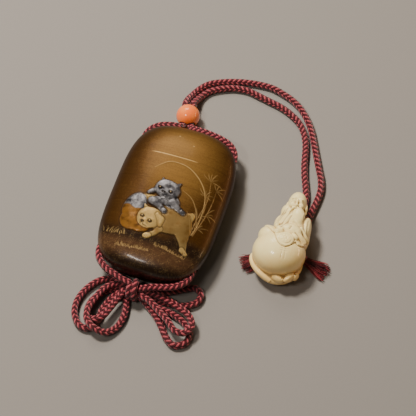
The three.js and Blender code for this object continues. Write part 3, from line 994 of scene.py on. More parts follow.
@dataclass
class Bow:
    """The bow under the case: six loops gathered by two turns of the cord."""

    knot: Point = (-1.2, -47.2, 5.75)
    entry: Point = (2.8, -46.4, 7.9)
    turn_radius: float = 4.0
    start: float = -60.0
    turns: float = 1.6
    spread: float = 1.9
    points_each_turn: int = 12

    def _through(self, first: Point, second: Point) -> list[float]:
        """The middle of the way from one loop to the next, drawn halfway to the knot."""
        middle = (np.array(first) + np.array(second)) / 2
        return [self.knot[0], *(self.knot[i] + 0.5 * (middle[i] - self.knot[i]) for i in (1, 2))]

    def _turns(self) -> list[list[float]]:
        """The turns that bind the loops.

        Returns:
            Their points, from below the knot to its top.
        """
        count = round(self.turns * self.points_each_turn)
        points = []
        for i in range(count + 1):
            angle = math.radians(self.start - 360 * self.turns * i / count)
            points.append([
                self.knot[0] + self.spread * (1 - 2 * i / count),
                self.knot[1] + self.turn_radius * math.cos(angle),
                self.knot[2] + self.turn_radius * math.sin(angle),
            ])
        return points

    def route(self) -> list[list[float]]:
        """The cord's whole way through the bow.

        Returns:
            Its points, from the right channel to the left one.
        """
        route = [*FOOT_RIGHT, self.entry]
        for pair in zip(LOOPS_LEFT, LOOPS_RIGHT):
            for loop in pair:
                route += [self._through(route[-1], loop[0]), *loop]
        return route + self._turns() + FOOT_LEFT[::-1]


@dataclass
class CordSet:
    """The cord's free stretches: two from the case's shoulders to the toggle, and the bow."""

    cord: BraidedCord
    finish: bpy.types.Material

    OUTER_END = [[67.6, 2.4, 3.1], [69.8, -1.6, 3.1], [72.6, -4.4, 3]]
    INNER_END = [[60.8, 1.8, 3.1], [56.8, -3.8, 2.9], [52.2, -9.4, 2.7]]
    EXIT = 12  # the point of a centreline at which it has left its channel

    def _stretch(
        self, name: str, route: Sequence[Point], nodes: Sequence[str],
    ) -> None:
        """Args:
            name: Its name.
            route: The points that it follows.
            nodes: The CAD nodes that it stands for.
        """
        piece, line = self.cord.tube(route)
        finish_piece(piece, name, self.finish, nodes, smooth_angle=80)
        self.cord.length(line)
        self.cord.diameter * MM

    def build(
        self, bead: bpy.types.Object, toggle: bpy.types.Object, tufts: Sequence[bpy.types.Object]
    ) -> None:
        """Args:
            bead: The bead that both strands run through; not used.
            toggle: The toggle that they end in; not used.
            tufts: The two frayed ends, left then right; not used.
        """
        self._stretch(
            "cord_from_left_shoulder", SHOULDER_LEFT[::-1] + OUTER_STRAND + self.OUTER_END,
            ("cord_shoulder_left", "cord_strand_outer"))
        self._stretch(
            "cord_from_right_shoulder", SHOULDER_RIGHT[::-1] + INNER_STRAND + self.INNER_END,
            ("cord_shoulder_right", "cord_strand_inner"))
        nodes = ("cord_foot_right", "cord_foot_left", "bow_loops_left", "bow_loops_right", "bow_knot")
        self._stretch("cord_bow", Bow().route(), nodes)


class Relief:
    """The front's low relief at given places: pups, bamboo and grass, laid one over another."""

    FADE = 0.12
    TAIL = ((13.4, -9.4), (15.6, -8.2), (15.7, -10.6), (14.2, -12))
    THIGH = ((13.0, -15.8), (14.6, -20.4), (16.2, -24.6), (17.2, -27.4))

    def __init__(self, x: np.ndarray, y: np.ndarray) -> None:
        """Start a plain ground.

        Args:
            x: Places across the case, in millimetres.
            y: Places along the case.
        """
        self.x, self.y = x, y
        self.height = np.zeros_like(x)
        self.inlays = {inlay: np.zeros_like(x) for inlay in Inlay}

    def oval(self, centre: Point, half: Point, turn: float = 0.0, power: float = 2.0) -> np.ndarray:
        """How far inside an oval's outline the places lie.

        Args:
            centre: Its middle.
            half: Its half widths.
            turn: How far it is turned, in degrees.
            power: 2 for an ellipse, more for a squarer form.

        Returns:
            The depth in millimetres, below 0 outside.
        """
        angle = math.radians(turn)
        dx, dy = self.x - centre[0], self.y - centre[1]
        u = np.abs(dx * math.cos(angle) + dy * math.sin(angle)) / half[0]
        v = np.abs(dy * math.cos(angle) - dx * math.sin(angle)) / half[1]
        return (1 - (u**power + v**power) ** (1 / power)) * min(half)

    def limb(self, route: Sequence[Point], widths: Sequence[float]) -> np.ndarray:
        """How far inside a limb's outline the places lie, its half width changing along its route."""
        distance, along = line_distance(self.x, self.y, route)
        return np.interp(along, np.linspace(0, 1, len(widths)), widths) - distance

    def _mark(self, inlay: Inlay, amount: np.ndarray) -> None:
        """Strengthen an inlay where it is weaker than this amount."""
        self.inlays[inlay] = np.maximum(self.inlays[inlay], amount)

    def over(
        self, depth: np.ndarray, lift: float, rise: float, inlay: Inlay, round_over: float,
        strength: float = 1.0,
    ) -> None:
        """Lay a form over what is there, with a sharp edge and a cut line around it.

        Args:
            depth: How far inside the form's outline the places lie.
            lift: Height of the form's edge.
            rise: How much higher its middle is.
            inlay: What the form is made of.
            round_over: Distance from the edge over which it rounds up.
            strength: How thickly the inlay covers the ground, up to 1.
        """
        cover = smoothstep(-0.14, 0.18, depth)
        crease = np.exp(-(((depth + 0.3) / 0.22) ** 2))
        dome = np.sqrt(np.clip(1 - (1 - np.clip(depth / round_over, 0, 1)) ** 2, 0, 1))
        top = np.maximum(lift + rise * dome, self.height * 0.8)
        self.height = (self.height - 0.13 * crease) * (1 - cover) + cover * top
        for values in self.inlays.values():
            values *= 1 - cover
        self.inlays[inlay] += cover * strength
        # Painted shade in the cut line around the form.
        self._mark(Inlay.SHADE_AND_DARK_FEATURES, 0.8 * crease * (depth < 0))

    def tint(self, depth: np.ndarray, inlay: Inlay, soft: float = 0.5) -> None:
        """Change what a part of a form is made of.

        Args:
            depth: How far inside the part the places lie.
            inlay: What it is made of.
            soft: Half the width of its soft edge.
        """
        cover = smoothstep(-soft, soft, depth)
        for values in self.inlays.values():
            values *= 1 - cover
        self.inlays[inlay] += cover

    def swell(self, depth: np.ndarray, rise: float, reach: float) -> None:
        """Raise a soft form such as a cheek or a thigh."""
        self.height += rise * smoothstep(0, reach, depth)

    def groove(self, route: Sequence[Point], width: float, depth: float) -> None:
        """Cut a fine line, darkened with painted shade, that fades at its ends.

        Args:
            route: The line's corners.
            width: Its half width.
            depth: Its depth.
        """
        distance, along = line_distance(self.x, self.y, route)
        line = np.exp(-((distance / width) ** 2)) * smoothstep(0, self.FADE, along)
        line = line * smoothstep(0, self.FADE, 1 - along)
        self.height -= depth * line
        self._mark(Inlay.SHADE_AND_DARK_FEATURES, line)

    def stroke(self, route: Sequence[Point], widths: Sequence[float], rise: float, bright: float) -> None:
        """Draw a raised line in gold over the ground alone.

        Args:
            route: The line's corners.
            widths: Half widths at even steps along it.
            rise: How high it stands.
            bright: How bright its gold is, up to 1.
        """
        depth = self.limb(route, widths)
        taken = sum(self.inlays[inlay] for inlay in (Inlay.SILVER, Inlay.GOLD, Inlay.ORANGE))
        cover = smoothstep(-0.12, 0.12, depth) * (1 - np.clip(taken, 0, 1))
        self.height = np.maximum(self.height, rise * cover)
        self._mark(Inlay.LINE, cover * bright)

    def eye(self, centre: Point, size: float) -> None:
        """Set an inlaid eye: a round dark ball with one painted glint, in an almond-shaped rim.

        Args:
            centre: Its middle.
            size: The ball's radius.
        """
        rim = self.oval(centre, (size * 1.5, size * 1.15), -20)
        self.height -= 0.16 * smoothstep(-0.1, 0.12, rim)
        self._mark(Inlay.SHADE_AND_DARK_FEATURES, smoothstep(-0.1, 0.1, rim))
        self.height += 0.26 * smoothstep(-0.04, 0.2, self.oval(centre, (size, size)))
        # Painted glint: a bright dot of line gold on the eye.
        painted_glint = self.oval((centre[0] - size * 0.2, centre[1] + size * 0.3), (size * 0.34, size * 0.34))
        self._mark(Inlay.LINE, smoothstep(-0.05, 0.1, painted_glint))

    def nose(self, centre: Point, half: Point, turn: float, rise: float) -> None:
        """Raise a dark nose.

        Args:
            centre: Its middle.
            half: Its half widths.
            turn: How far it is turned, in degrees.
            rise: How high it stands.
        """
        depth = self.oval(centre, half, turn)
        self.height += rise * smoothstep(-0.05, 0.3, depth)
        self._mark(Inlay.SHADE_AND_DARK_FEATURES, smoothstep(-0.1, 0.1, depth))

    def _pup_behind(self) -> None:
        """The left pup, curled with its back to the viewer: grey above and orange gold below."""
        self.over(self.limb([(-9.6, -5.6), (-5.6, -4.5)], (1.9, 1.1)), 0.3, 0.35, Inlay.GOLD, 1.4)
        body = np.maximum.reduce([
            self.oval((-12.8, -11.8), (5.5, 8.0), -10), self.oval((-11.4, -18.6), (6.3, 6.0), 20),
            self.oval((-7.6, -20.2), (6.0, 4.4), -8),
        ])
        self.over(body, 0.35, 0.75, Inlay.ORANGE, 4.6)
        patch = self.y + 12.6 + 0.16 * (self.x + 12) + 0.5 * np.sin(self.x * 0.9)
        self.tint(np.where(body > 0.05, patch, -9), Inlay.SILVER, 0.45)
        self.swell(self.oval((-11.6, -19), (3.8, 3.8)), 0.18, 3)
        self.swell(self.oval((-14.4, -15.4), (2.2, 3.6), 14), 0.14, 2)

    def _pup_in_front(self) -> None:
        """The gold pup: long body to the right, its head low at the left."""
        self.over(self.limb(self.TAIL, (1.5, 1.5, 1.2, 0.9)), 0.4, 0.3, Inlay.GOLD, 1.2)
        body = np.maximum.reduce([
            self.oval((5.0, -13.6), (7.4, 6.6), -12), self.oval((11.6, -14.6), (5.8, 6.6), 12),
            self.limb([(2, -19.0), (9.5, -18.2)], (3.0, 3.0)),
            self.limb(self.THIGH, (4.4, 3.6, 2.0, 1.3)),
        ])
        self.over(body, 0.45, 0.5, Inlay.GOLD, 3.6, 0.36)
        self.swell(self.oval((13.2, -16.4), (4.2, 5.4), 14), 0.22, 3.4)
        # Hind paw, then the foreleg and its paw
        self.over(self.limb([(16.4, -27.2), (18.6, -28.4)], (1.25, 1.0)), 0.4, 0.35, Inlay.GOLD, 1.0, 0.8)
        self.groove([(18.0, -27.8), (18.7, -28.3)], 0.14, 0.12)
        self.groove([(17.3, -28.2), (17.9, -28.9)], 0.14, 0.12)
        foreleg = self.limb([(3.0, -20.6), (1.0, -23.2), (-1.2, -25.0)], (1.5, 1.4, 1.2))
        self.over(foreleg, 0.35, 0.3, Inlay.GOLD, 1.3, 0.6)
        self.over(self.oval((-1.9, -25.4), (2.1, 1.5), 10), 0.45, 0.35, Inlay.GOLD, 1.1)
        for shift in (-0.9, 0.1, 1.0):
            self.groove([(-2 + shift, -26.7), (-1.9 + shift, -25.6)], 0.13, 0.14)
        # Far ear, head with its cheeks and brows, near ear, mouth, nose and eyes
        self.over(self.limb([(-6.0, -12.2), (-7.9, -9.7)], (1.9, 0.35)), 0.6, 0.35, Inlay.GOLD, 1.1)
        self.over(self.oval((-3.7, -16.1), (5.9, 5.7), 8, 2.15), 0.75, 0.5, Inlay.GOLD, 4.0)
        self.swell(self.oval((-5.4, -19.2), (2.9, 2.3), -24), 0.32, 1.6)
        self.swell(self.oval((-7.4, -14.4), (2.0, 1.7), 20), 0.12, 1.2)
        self.swell(self.oval((-2.3, -17.4), (2.0, 1.7), -10), 0.12, 1.2)
        ear = self.limb([(-0.3, -13.4), (2.2, -15.6), (2.5, -18.6)], (1.0, 1.7, 1.0))
        self.over(ear, 0.9, 0.35, Inlay.GOLD, 1.3)
        self.groove([(-6.0, -19.6), (-5.4, -20.8), (-3.0, -21.2)], 0.22, 0.22)
        self.groove([(-6.0, -19.6), (-7.4, -20.2)], 0.2, 0.2)
        self.nose((-6.3, -19.0), (1.1, 0.75), -25, 0.22)
        self.eye((-7.2, -16.2), 0.9)
        self.eye((-2.8, -18.0), 0.9)

    def _pup_above(self) -> None:
        """The dark silver pup, peering over the gold one with both forelegs hanging down."""
        chest = np.maximum(self.oval((3.6, -4.6), (4.6, 3.6), -20), self.oval((-2.6, -5.8), (4.0, 2.4), 10))
        self.over(chest, 0.85, 0.25, Inlay.SILVER, 1.8)
        for route in ([(-5.6, -6.6), (-1.6, -8.2), (2.0, -10.6)], [(4.2, -4.6), (7.6, -7.2), (10.8, -8.7)]):
            self.over(self.limb(route, (2.1, 1.65, 1.25)), 0.95, 0.4, Inlay.SILVER, 1.5)
            end = np.array(route[-1])
            self.over(self.oval(end, (1.7, 1.35), -35), 1.0, 0.35, Inlay.SILVER, 1.0)
            for side in (-0.5, 0.5):
                start = end + (0.2 + side, -0.1 + side)
                self.groove([start, start + (1.0, -0.8)], 0.13, 0.16)
        # Hanging ear, upright ears, head with its cheeks and brows, mouth, nose and eyes
        self.over(self.limb([(-5.8, -0.4), (-8.3, -2.6)], (1.5, 1.1)), 0.85, 0.3, Inlay.SILVER, 1.0)
        for route in ([(-3.4, 4.2), (-4.2, 6.9)], [(3.6, 4.2), (5.2, 6.3)]):
            self.over(self.limb(route, (1.7, 0.35)), 0.7, 0.3, Inlay.SILVER, 1.0)
            self.groove([route[0], np.array(route[0]) * 0.3 + np.array(route[1]) * 0.7], 0.3, 0.16)
        self.over(self.oval((-0.1, 1.2), (6.5, 5.2), -14, 2.2), 0.95, 0.5, Inlay.SILVER, 3.6)
        self.swell(self.oval((-1.2, -1.9), (3.3, 2.1), -14), 0.34, 1.5)
        self.swell(self.oval((-3.9, 1.2), (1.8, 1.5)), 0.12, 1.1)
        self.swell(self.oval((2.2, 0.4), (1.9, 1.6)), 0.12, 1.1)
        self.swell(self.oval((-0.8, 3.2), (2.4, 1.6), -14), 0.14, 1.2)
        self.groove([(-1.4, -1.7), (-1.2, -2.8), (0.6, -3.4), (1.8, -2.9)], 0.17, 0.22)
        self.groove([(-1.2, -2.8), (-2.8, -2.9), (-3.6, -2.2)], 0.17, 0.22)
        self.nose((-1.5, -0.9), (1.15, 0.75), -14, 0.24)
        self.eye((-3.9, 1.1), 0.85)
        self.eye((1.9, 0.0), 0.85)

    def _bamboo(self) -> None:
        """Bent stems and leaves at the right, in fine raised lines."""
        # Each stem has its route, its half widths and its brightness
        stems = (
            ([(18.2, -17.9), (19.4, -12.3), (19.5, -3.5), (17.9, 4.7), (13.7, 11.1), (6.2, 16.4), (0.4, 17.6),
              (-4.4, 17.1), (-10.5, 12.1)], (0.22, 0.2, 0.18, 0.2, 0.26, 0.26, 0.22, 0.14, 0.05), 0.85),
            ([(18.8, -11.9), (16.3, -4.6), (12.5, 0.6), (6.9, 3.5)], (0.2, 0.2, 0.18, 0.06), 0.6),
            ([(18.9, -18), (20.9, -9), (22.2, 1), (22.2, 10)], (0.22, 0.18, 0.14, 0.07), 0.38),
            ([(17.4, -17.6), (18.4, -8), (19.8, 3), (18.2, 13.7)], (0.2, 0.17, 0.14, 0.07), 0.42),
            ([(17.2, -17), (15.4, -11.6), (12.4, -6.6)], (0.2, 0.17, 0.07), 0.45),
            ([(18.6, -14), (20, -3), (18.9, 4.5), (15.4, 10)], (0.17, 0.14, 0.12, 0.05), 0.4),
        )
        for route, widths, bright in stems:
            self.stroke(smooth_route(route, 1.0), widths, 0.16, bright)
        # Each spray has its place, the turns of its leaves and their length
        sprays = (
            (18.2, 13.2, (150, 122, 98, 72, 40, -8), 6.0), (18.0, 4.7, (172, 140, 96, 60, 20, -20), 4.8),
            (18.4, -7.4, (150, 118, 64, 30, -4), 5.0), (21.4, -4.8, (60, 28, -6, -40), 5.6),
            (22.2, 9.6, (120, 84, 44, 6, -34), 5.0), (19.8, -13.6, (58, 24, -12), 5.4),
        )
        leaf = ((0.08, 0), (0.45, 0.05), (0.8, 0.03), (1.0, -0.03))
        for x, y, turns, reach in sprays:
            for i, turn in enumerate(turns):
                angle = math.radians(turn)
                long = reach * (0.8 + 0.2 * math.sin(2.7 * i + y))
                along = np.array((math.cos(angle), math.sin(angle)))
                across = np.array((-math.sin(angle), math.cos(angle)))
                route = [np.array((x, y)) + long * (part * along + bend * across) for part, bend in leaf]
                self.stroke(route, (0.06, 0.2, 0.2, 0.05), 0.1, 0.42 + 0.14 * math.sin(3.1 * i + x))

    def _grass(self) -> None:
        """Tufts and rows of short gold grass along the ground."""
        random = np.random.default_rng(11)
        # Each row has its two ends, its number of blades and their height
        rows = (
            ((-23.2, -27.2), (-12.4, -27.4), 13, 3.8), ((-15.4, -33.2), (1.2, -32.6), 30, 1.5),
            ((2.8, -28.6), (18.6, -30.8), 26, 1.7),
        )
        for start, end, count, tall in rows:
            for i in range(count):
                share = (i + random.uniform(-0.4, 0.4)) / (count - 1)
                x = start[0] + (end[0] - start[0]) * share
                y = start[1] + (end[1] - start[1]) * share + random.normal(0, 0.28)
                reach = tall * random.uniform(0.35, 1.0)
                lean = reach * random.uniform(-0.55, 0.75)
                self.stroke([(x, y), (x + lean * 0.35, y + reach * 0.6), (x + lean, y + reach)],
                            (0.15, 0.12, 0.04), 0.1, random.uniform(0.35, 0.95))
            self.stroke([start, end], (0.06, 0.13, 0.13, 0.06), 0.06, 0.36 if tall < 3 else 0.0)
        for place in ((-4.7, 33.4), (3.9, 29.5)):
            self.stroke([place, (place[0] + 0.3, place[1])], (0.34, 0.34), 0.08, 0.6)

    @classmethod
    def of_front(cls, x: np.ndarray, y: np.ndarray) -> "Relief":
        """Work out the whole composition at these places.

        Args:
            x: Places across the case, in millimetres.
            y: Places along the case.

        Returns:
            The relief.
        """
        relief = cls(x, y)
        relief._pup_behind()
        relief._pup_in_front()
        relief._pup_above()
        relief._bamboo()
        relief._grass()
        return relief


@dataclass
class InroCase:
    """The stacked boxes with their lid, cut from one rounded body."""

    finish: bpy.types.Material
    segments: int = 400
    rings: int = 380
    front_share: float = 0.74
    cavity: Point = (18.0, 7.6)
    cavity_power: float = 3.2
    lip_wall: float = 1.2
    lip_height: float = 5.0
    fit_gap: float = 0.3
    floor: float = 1.2
    end_wall: float = 2.2
    channel_radius: float = 2.2
    channel_offset: float = 23.6
    end_stretch: float = 0.6
    front_depth: float = 0.35
    front_from: float = 2
    bore_length: float = 200
    lining_edge: Point = (0.985, 0.96)

    @staticmethod
    def _spread(path: np.ndarray) -> np.ndarray:
        """Travelled share of a path's length at each of its points."""
        steps = np.linalg.norm(np.diff(path, axis=0), axis=1)
        return np.concatenate([[0], np.cumsum(steps)]) / steps.sum()

    def _rounded(self, inset: float, segments: int, rings: int) -> bpy.types.Object:
        """The case's rounded form, made from a sphere whose poles lie at its ends.

        Args:
            inset: How much smaller it is all round.
            segments: Divisions around.
            rings: Divisions along.

        Returns:
            The form, centred on the case's middle.
        """
        bpy.ops.mesh.primitive_uv_sphere_add(segments=segments, ring_count=rings, radius=1)
        piece = bpy.context.object
        ball = points_of(piece) * MM
        along = np.arccos(np.clip(ball[:, 2], -1, 1)) / math.pi
        around = np.mod(np.arctan2(ball[:, 1], ball[:, 0]) / (2 * math.pi) + 0.5, 1) - 0.5
        half = [size / 2 - inset for size in (FORM.width, FORM.length, FORM.thickness)]

        t = np.linspace(0, math.pi, 4001)
        y = half[1] * np.sign(np.cos(t)) * np.abs(np.cos(t)) ** (2 / FORM.end_power)
        scale = np.abs(np.sin(t)) ** (2 / FORM.end_power)
        at = np.interp(along, self._spread(np.stack([y, self.end_stretch * half[0] * scale], 1)), t)
        share = np.sign(around) * np.interp(np.abs(around), [0, self.front_share / 2, 0.5], [0, 0.25, 0.5])
        quarter = np.linspace(0, math.pi / 2, 2001)
        arc = np.stack([
            half[0] * np.sin(quarter) ** (2 / FORM.section_power),
            half[2] * np.cos(quarter) ** (2 / FORM.section_power)], 1)
        inward = np.where(np.abs(share) <= 0.25, np.abs(share), 0.5 - np.abs(share)) * 4
        angle = np.interp(inward, self._spread(arc), quarter)
        size = np.abs(np.sin(at)) ** (2 / FORM.end_power)
        side = np.where(np.abs(share) <= 0.25, 1, -1)
        set_points(piece, np.stack([
            np.sign(share) * half[0] * size * np.sin(angle) ** (2 / FORM.section_power),
            half[1] * np.sign(np.cos(at)) * np.abs(np.cos(at)) ** (2 / FORM.end_power),
            side * half[2] * size * np.cos(angle) ** (2 / FORM.section_power),
        ], 1))
        return piece

    def _prism(self, grow: float, low: float, high: float) -> bpy.types.Object:
        """An oval prism that runs along the case.

        Args:
            grow: How much wider than the hollow it is, all round.
            low: Where it starts.
            high: Where it ends.

        Returns:
            The prism.
        """
        bpy.ops.mesh.primitive_cylinder_add(vertices=128, radius=1, depth=1)
        piece = bpy.context.object
        ring, power = points_of(piece) * MM, 2 / self.cavity_power
        across, deep = self.cavity[0] + grow, self.cavity[1] + grow
        set_points(piece, np.stack([
            across * np.sign(ring[:, 0]) * np.abs(ring[:, 0]) ** power,
            np.where(ring[:, 2] > 0, high, low),
            FORM.mid_height - deep * np.sign(ring[:, 1]) * np.abs(ring[:, 1]) ** power,
        ], 1))
        return piece

    def _body(self) -> bpy.types.Object:
        """The whole outside with its relief, cut flat at the back.

        Returns:
            The body, in its place on the table.
        """
        piece = self._rounded(0, self.segments, self.rings)
        places = points_of(piece)
        front = places[:, 2] > self.front_from
        relief = Relief.of_front(places[front, 0], places[front, 1])
        places[front, 2] += relief.height
        places[:, 2] += FORM.mid_height
        set_points(piece, places)
        bisect(piece, (0, 0, 0), (0, 0, -1))
        return piece

    def _bores(self) -> list[bpy.types.Object]:
        """The cord channels and their rounded mouths.

        Returns:
            The tools that cut them.
        """
        bores = []
        for side in (-1, 1):
            middle = (side * self.channel_offset * MM, 0, FORM.mid_height * MM)
            bpy.ops.mesh.primitive_cylinder_add(
                vertices=32, radius=self.channel_radius * MM, depth=self.bore_length * MM, location=middle,
                rotation=(math.pi / 2, 0, 0))
            bores.append(bpy.context.object)
        mouth = BraidedCord(diameter=2 * self.channel_radius, relief=0.0, sides=32, step=0.7)
        for route in (SHOULDER_RIGHT[4:], SHOULDER_LEFT[3:], FOOT_RIGHT, FOOT_LEFT):
            bores.append(mouth.tube(route)[0])
        return bores

    def _dress(self, piece: bpy.types.Object) -> None:
        """Store the inlays, painted shade and painted glints on a piece's front, and where its lining is.

        Args:
            piece: The lid or a box.
        """
        places = points_of(piece)
        ground = FORM.front_height(places[:, 0], places[:, 1]) + FORM.mid_height
        front = places[:, 2] > np.maximum(ground - self.front_depth, FORM.mid_height + self.front_from)
        relief = Relief.of_front(places[front, 0], places[front, 1])
        for inlay, values in relief.inlays.items():
            whole = np.zeros(len(places))
            whole[front] = values
            set_attribute(piece, inlay.value, whole)
        rise = np.abs((places[:, 2] - FORM.mid_height) * 2 / FORM.thickness) ** FORM.section_power
        section = np.abs(places[:, 0] * 2 / FORM.width) ** FORM.section_power + rise
        reach = section ** (FORM.end_power / FORM.section_power)
        reach = reach + np.abs(places[:, 1] * 2 / FORM.length) ** FORM.end_power
        flat = places[:, 2] < 0.01
        set_attribute(piece, Inlay.LINING.value, np.where(flat, 0, smoothstep(*self.lining_edge, reach)))

    def _box(self, body: bpy.types.Object, number: int, low: float, high: float) -> bpy.types.Object:
        """Cut one box out of the body, and give it its lip, its socket and its hollow.

        Args:
            body: The whole outside, which is kept.
            number: 0 for the lid, then 1 to 4 downwards.
            low: Where the box starts along the case.
            high: Where it ends.

        Returns:
            The piece.
        """
        activate(body)
        bpy.ops.object.duplicate()
        piece = bpy.context.object
        top, bottom = number == 0, number == len(FORM.joints)
        if not bottom:
            bisect(piece, (0, (low + FORM.joint_gap / 2) * MM, 0), (0, -1, 0))
        if not top:
            bisect(piece, (0, (high - FORM.joint_gap / 2) * MM, 0), (0, 1, 0))
            cut(piece, self._prism(self.lip_wall, high - self.floor, high + self.lip_height), "UNION")
        for bore in self._bores():
            cut(piece, bore)
        socket = self.lip_height + self.fit_gap
        if not bottom:
            cut(piece, self._prism(self.lip_wall + self.fit_gap, low - 1, low + socket))
        start = low if top else -FORM.length if bottom else low + socket + self.floor
        hollow = self._prism(0, start, FORM.length if top else high + self.lip_height + 1)
        if top or bottom:
            room = self._rounded(self.end_wall, 96, 72)
            set_points(room, points_of(room) + (0, 0, FORM.mid_height))
            cut(hollow, room, "INTERSECT")
        cut(piece, hollow)
        self._dress(piece)
        return piece

    def build(self) -> list[bpy.types.Object]:
        """Make the lid and the boxes.

        Returns:
            The five pieces, from the lid down.
        """
        body = self._body()
        edges = [FORM.length, *FORM.joints, -FORM.length]
        pieces = []
        for number, (high, low) in enumerate(zip(edges[:-1], edges[1:])):
            piece = self._box(body, number, low, high)
            name, node = f"lacquer_box_{number}", f"case_{number}"
            if number == 0:
                name, node = "lacquer_lid", "lid"
            pieces.append(finish_piece(piece, name, self.finish, (node,), smooth_angle=34))
        bpy.data.objects.remove(body)
        return pieces


@dataclass
class OjimeBead:
    """The round coral bead with its two rounded cord holes."""

    finish: bpy.types.Material
    place: Point = (-7.7, 54.6, 6.0)
    radius: float = 6.0
    turn: float = 14.0
    bore_radius: float = 2.2
    bore_spacing: float = 3.8
    bore_length: float = 30
    edge: float = 0.3

    def build(self) -> bpy.types.Object:
        """Make the bead.

        Returns:
            The piece.
        """
        bpy.ops.mesh.primitive_uv_sphere_add(segments=128, ring_count=96, radius=self.radius * MM)
        bead = bpy.context.object
        for side in (-0.5, 0.5):
            bpy.ops.mesh.primitive_cylinder_add(
                vertices=48, radius=self.bore_radius * MM, depth=self.bore_length * MM,
                location=(side * self.bore_spacing * MM, 0, 0), rotation=(math.pi / 2, 0, 0))
            cut(bead, bpy.context.object)
        apply_modifier(bead, "BEVEL", width=self.edge * MM, segments=3, angle_limit=math.radians(50))
        turned = points_of(bead) @ np.array(Matrix.Rotation(math.radians(self.turn), 3, "Z").transposed())
        set_points(bead, turned + self.place)
        return finish_piece(bead, "coral_bead", self.finish, ("ojime_bead",), smooth_angle=50)


@dataclass(frozen=True)
class Lump:
    """One rounded mass of the toggle, in its own frame."""

    place: Point
    half: Point
    turn: float = 0.0
    tilt: float = 0.0


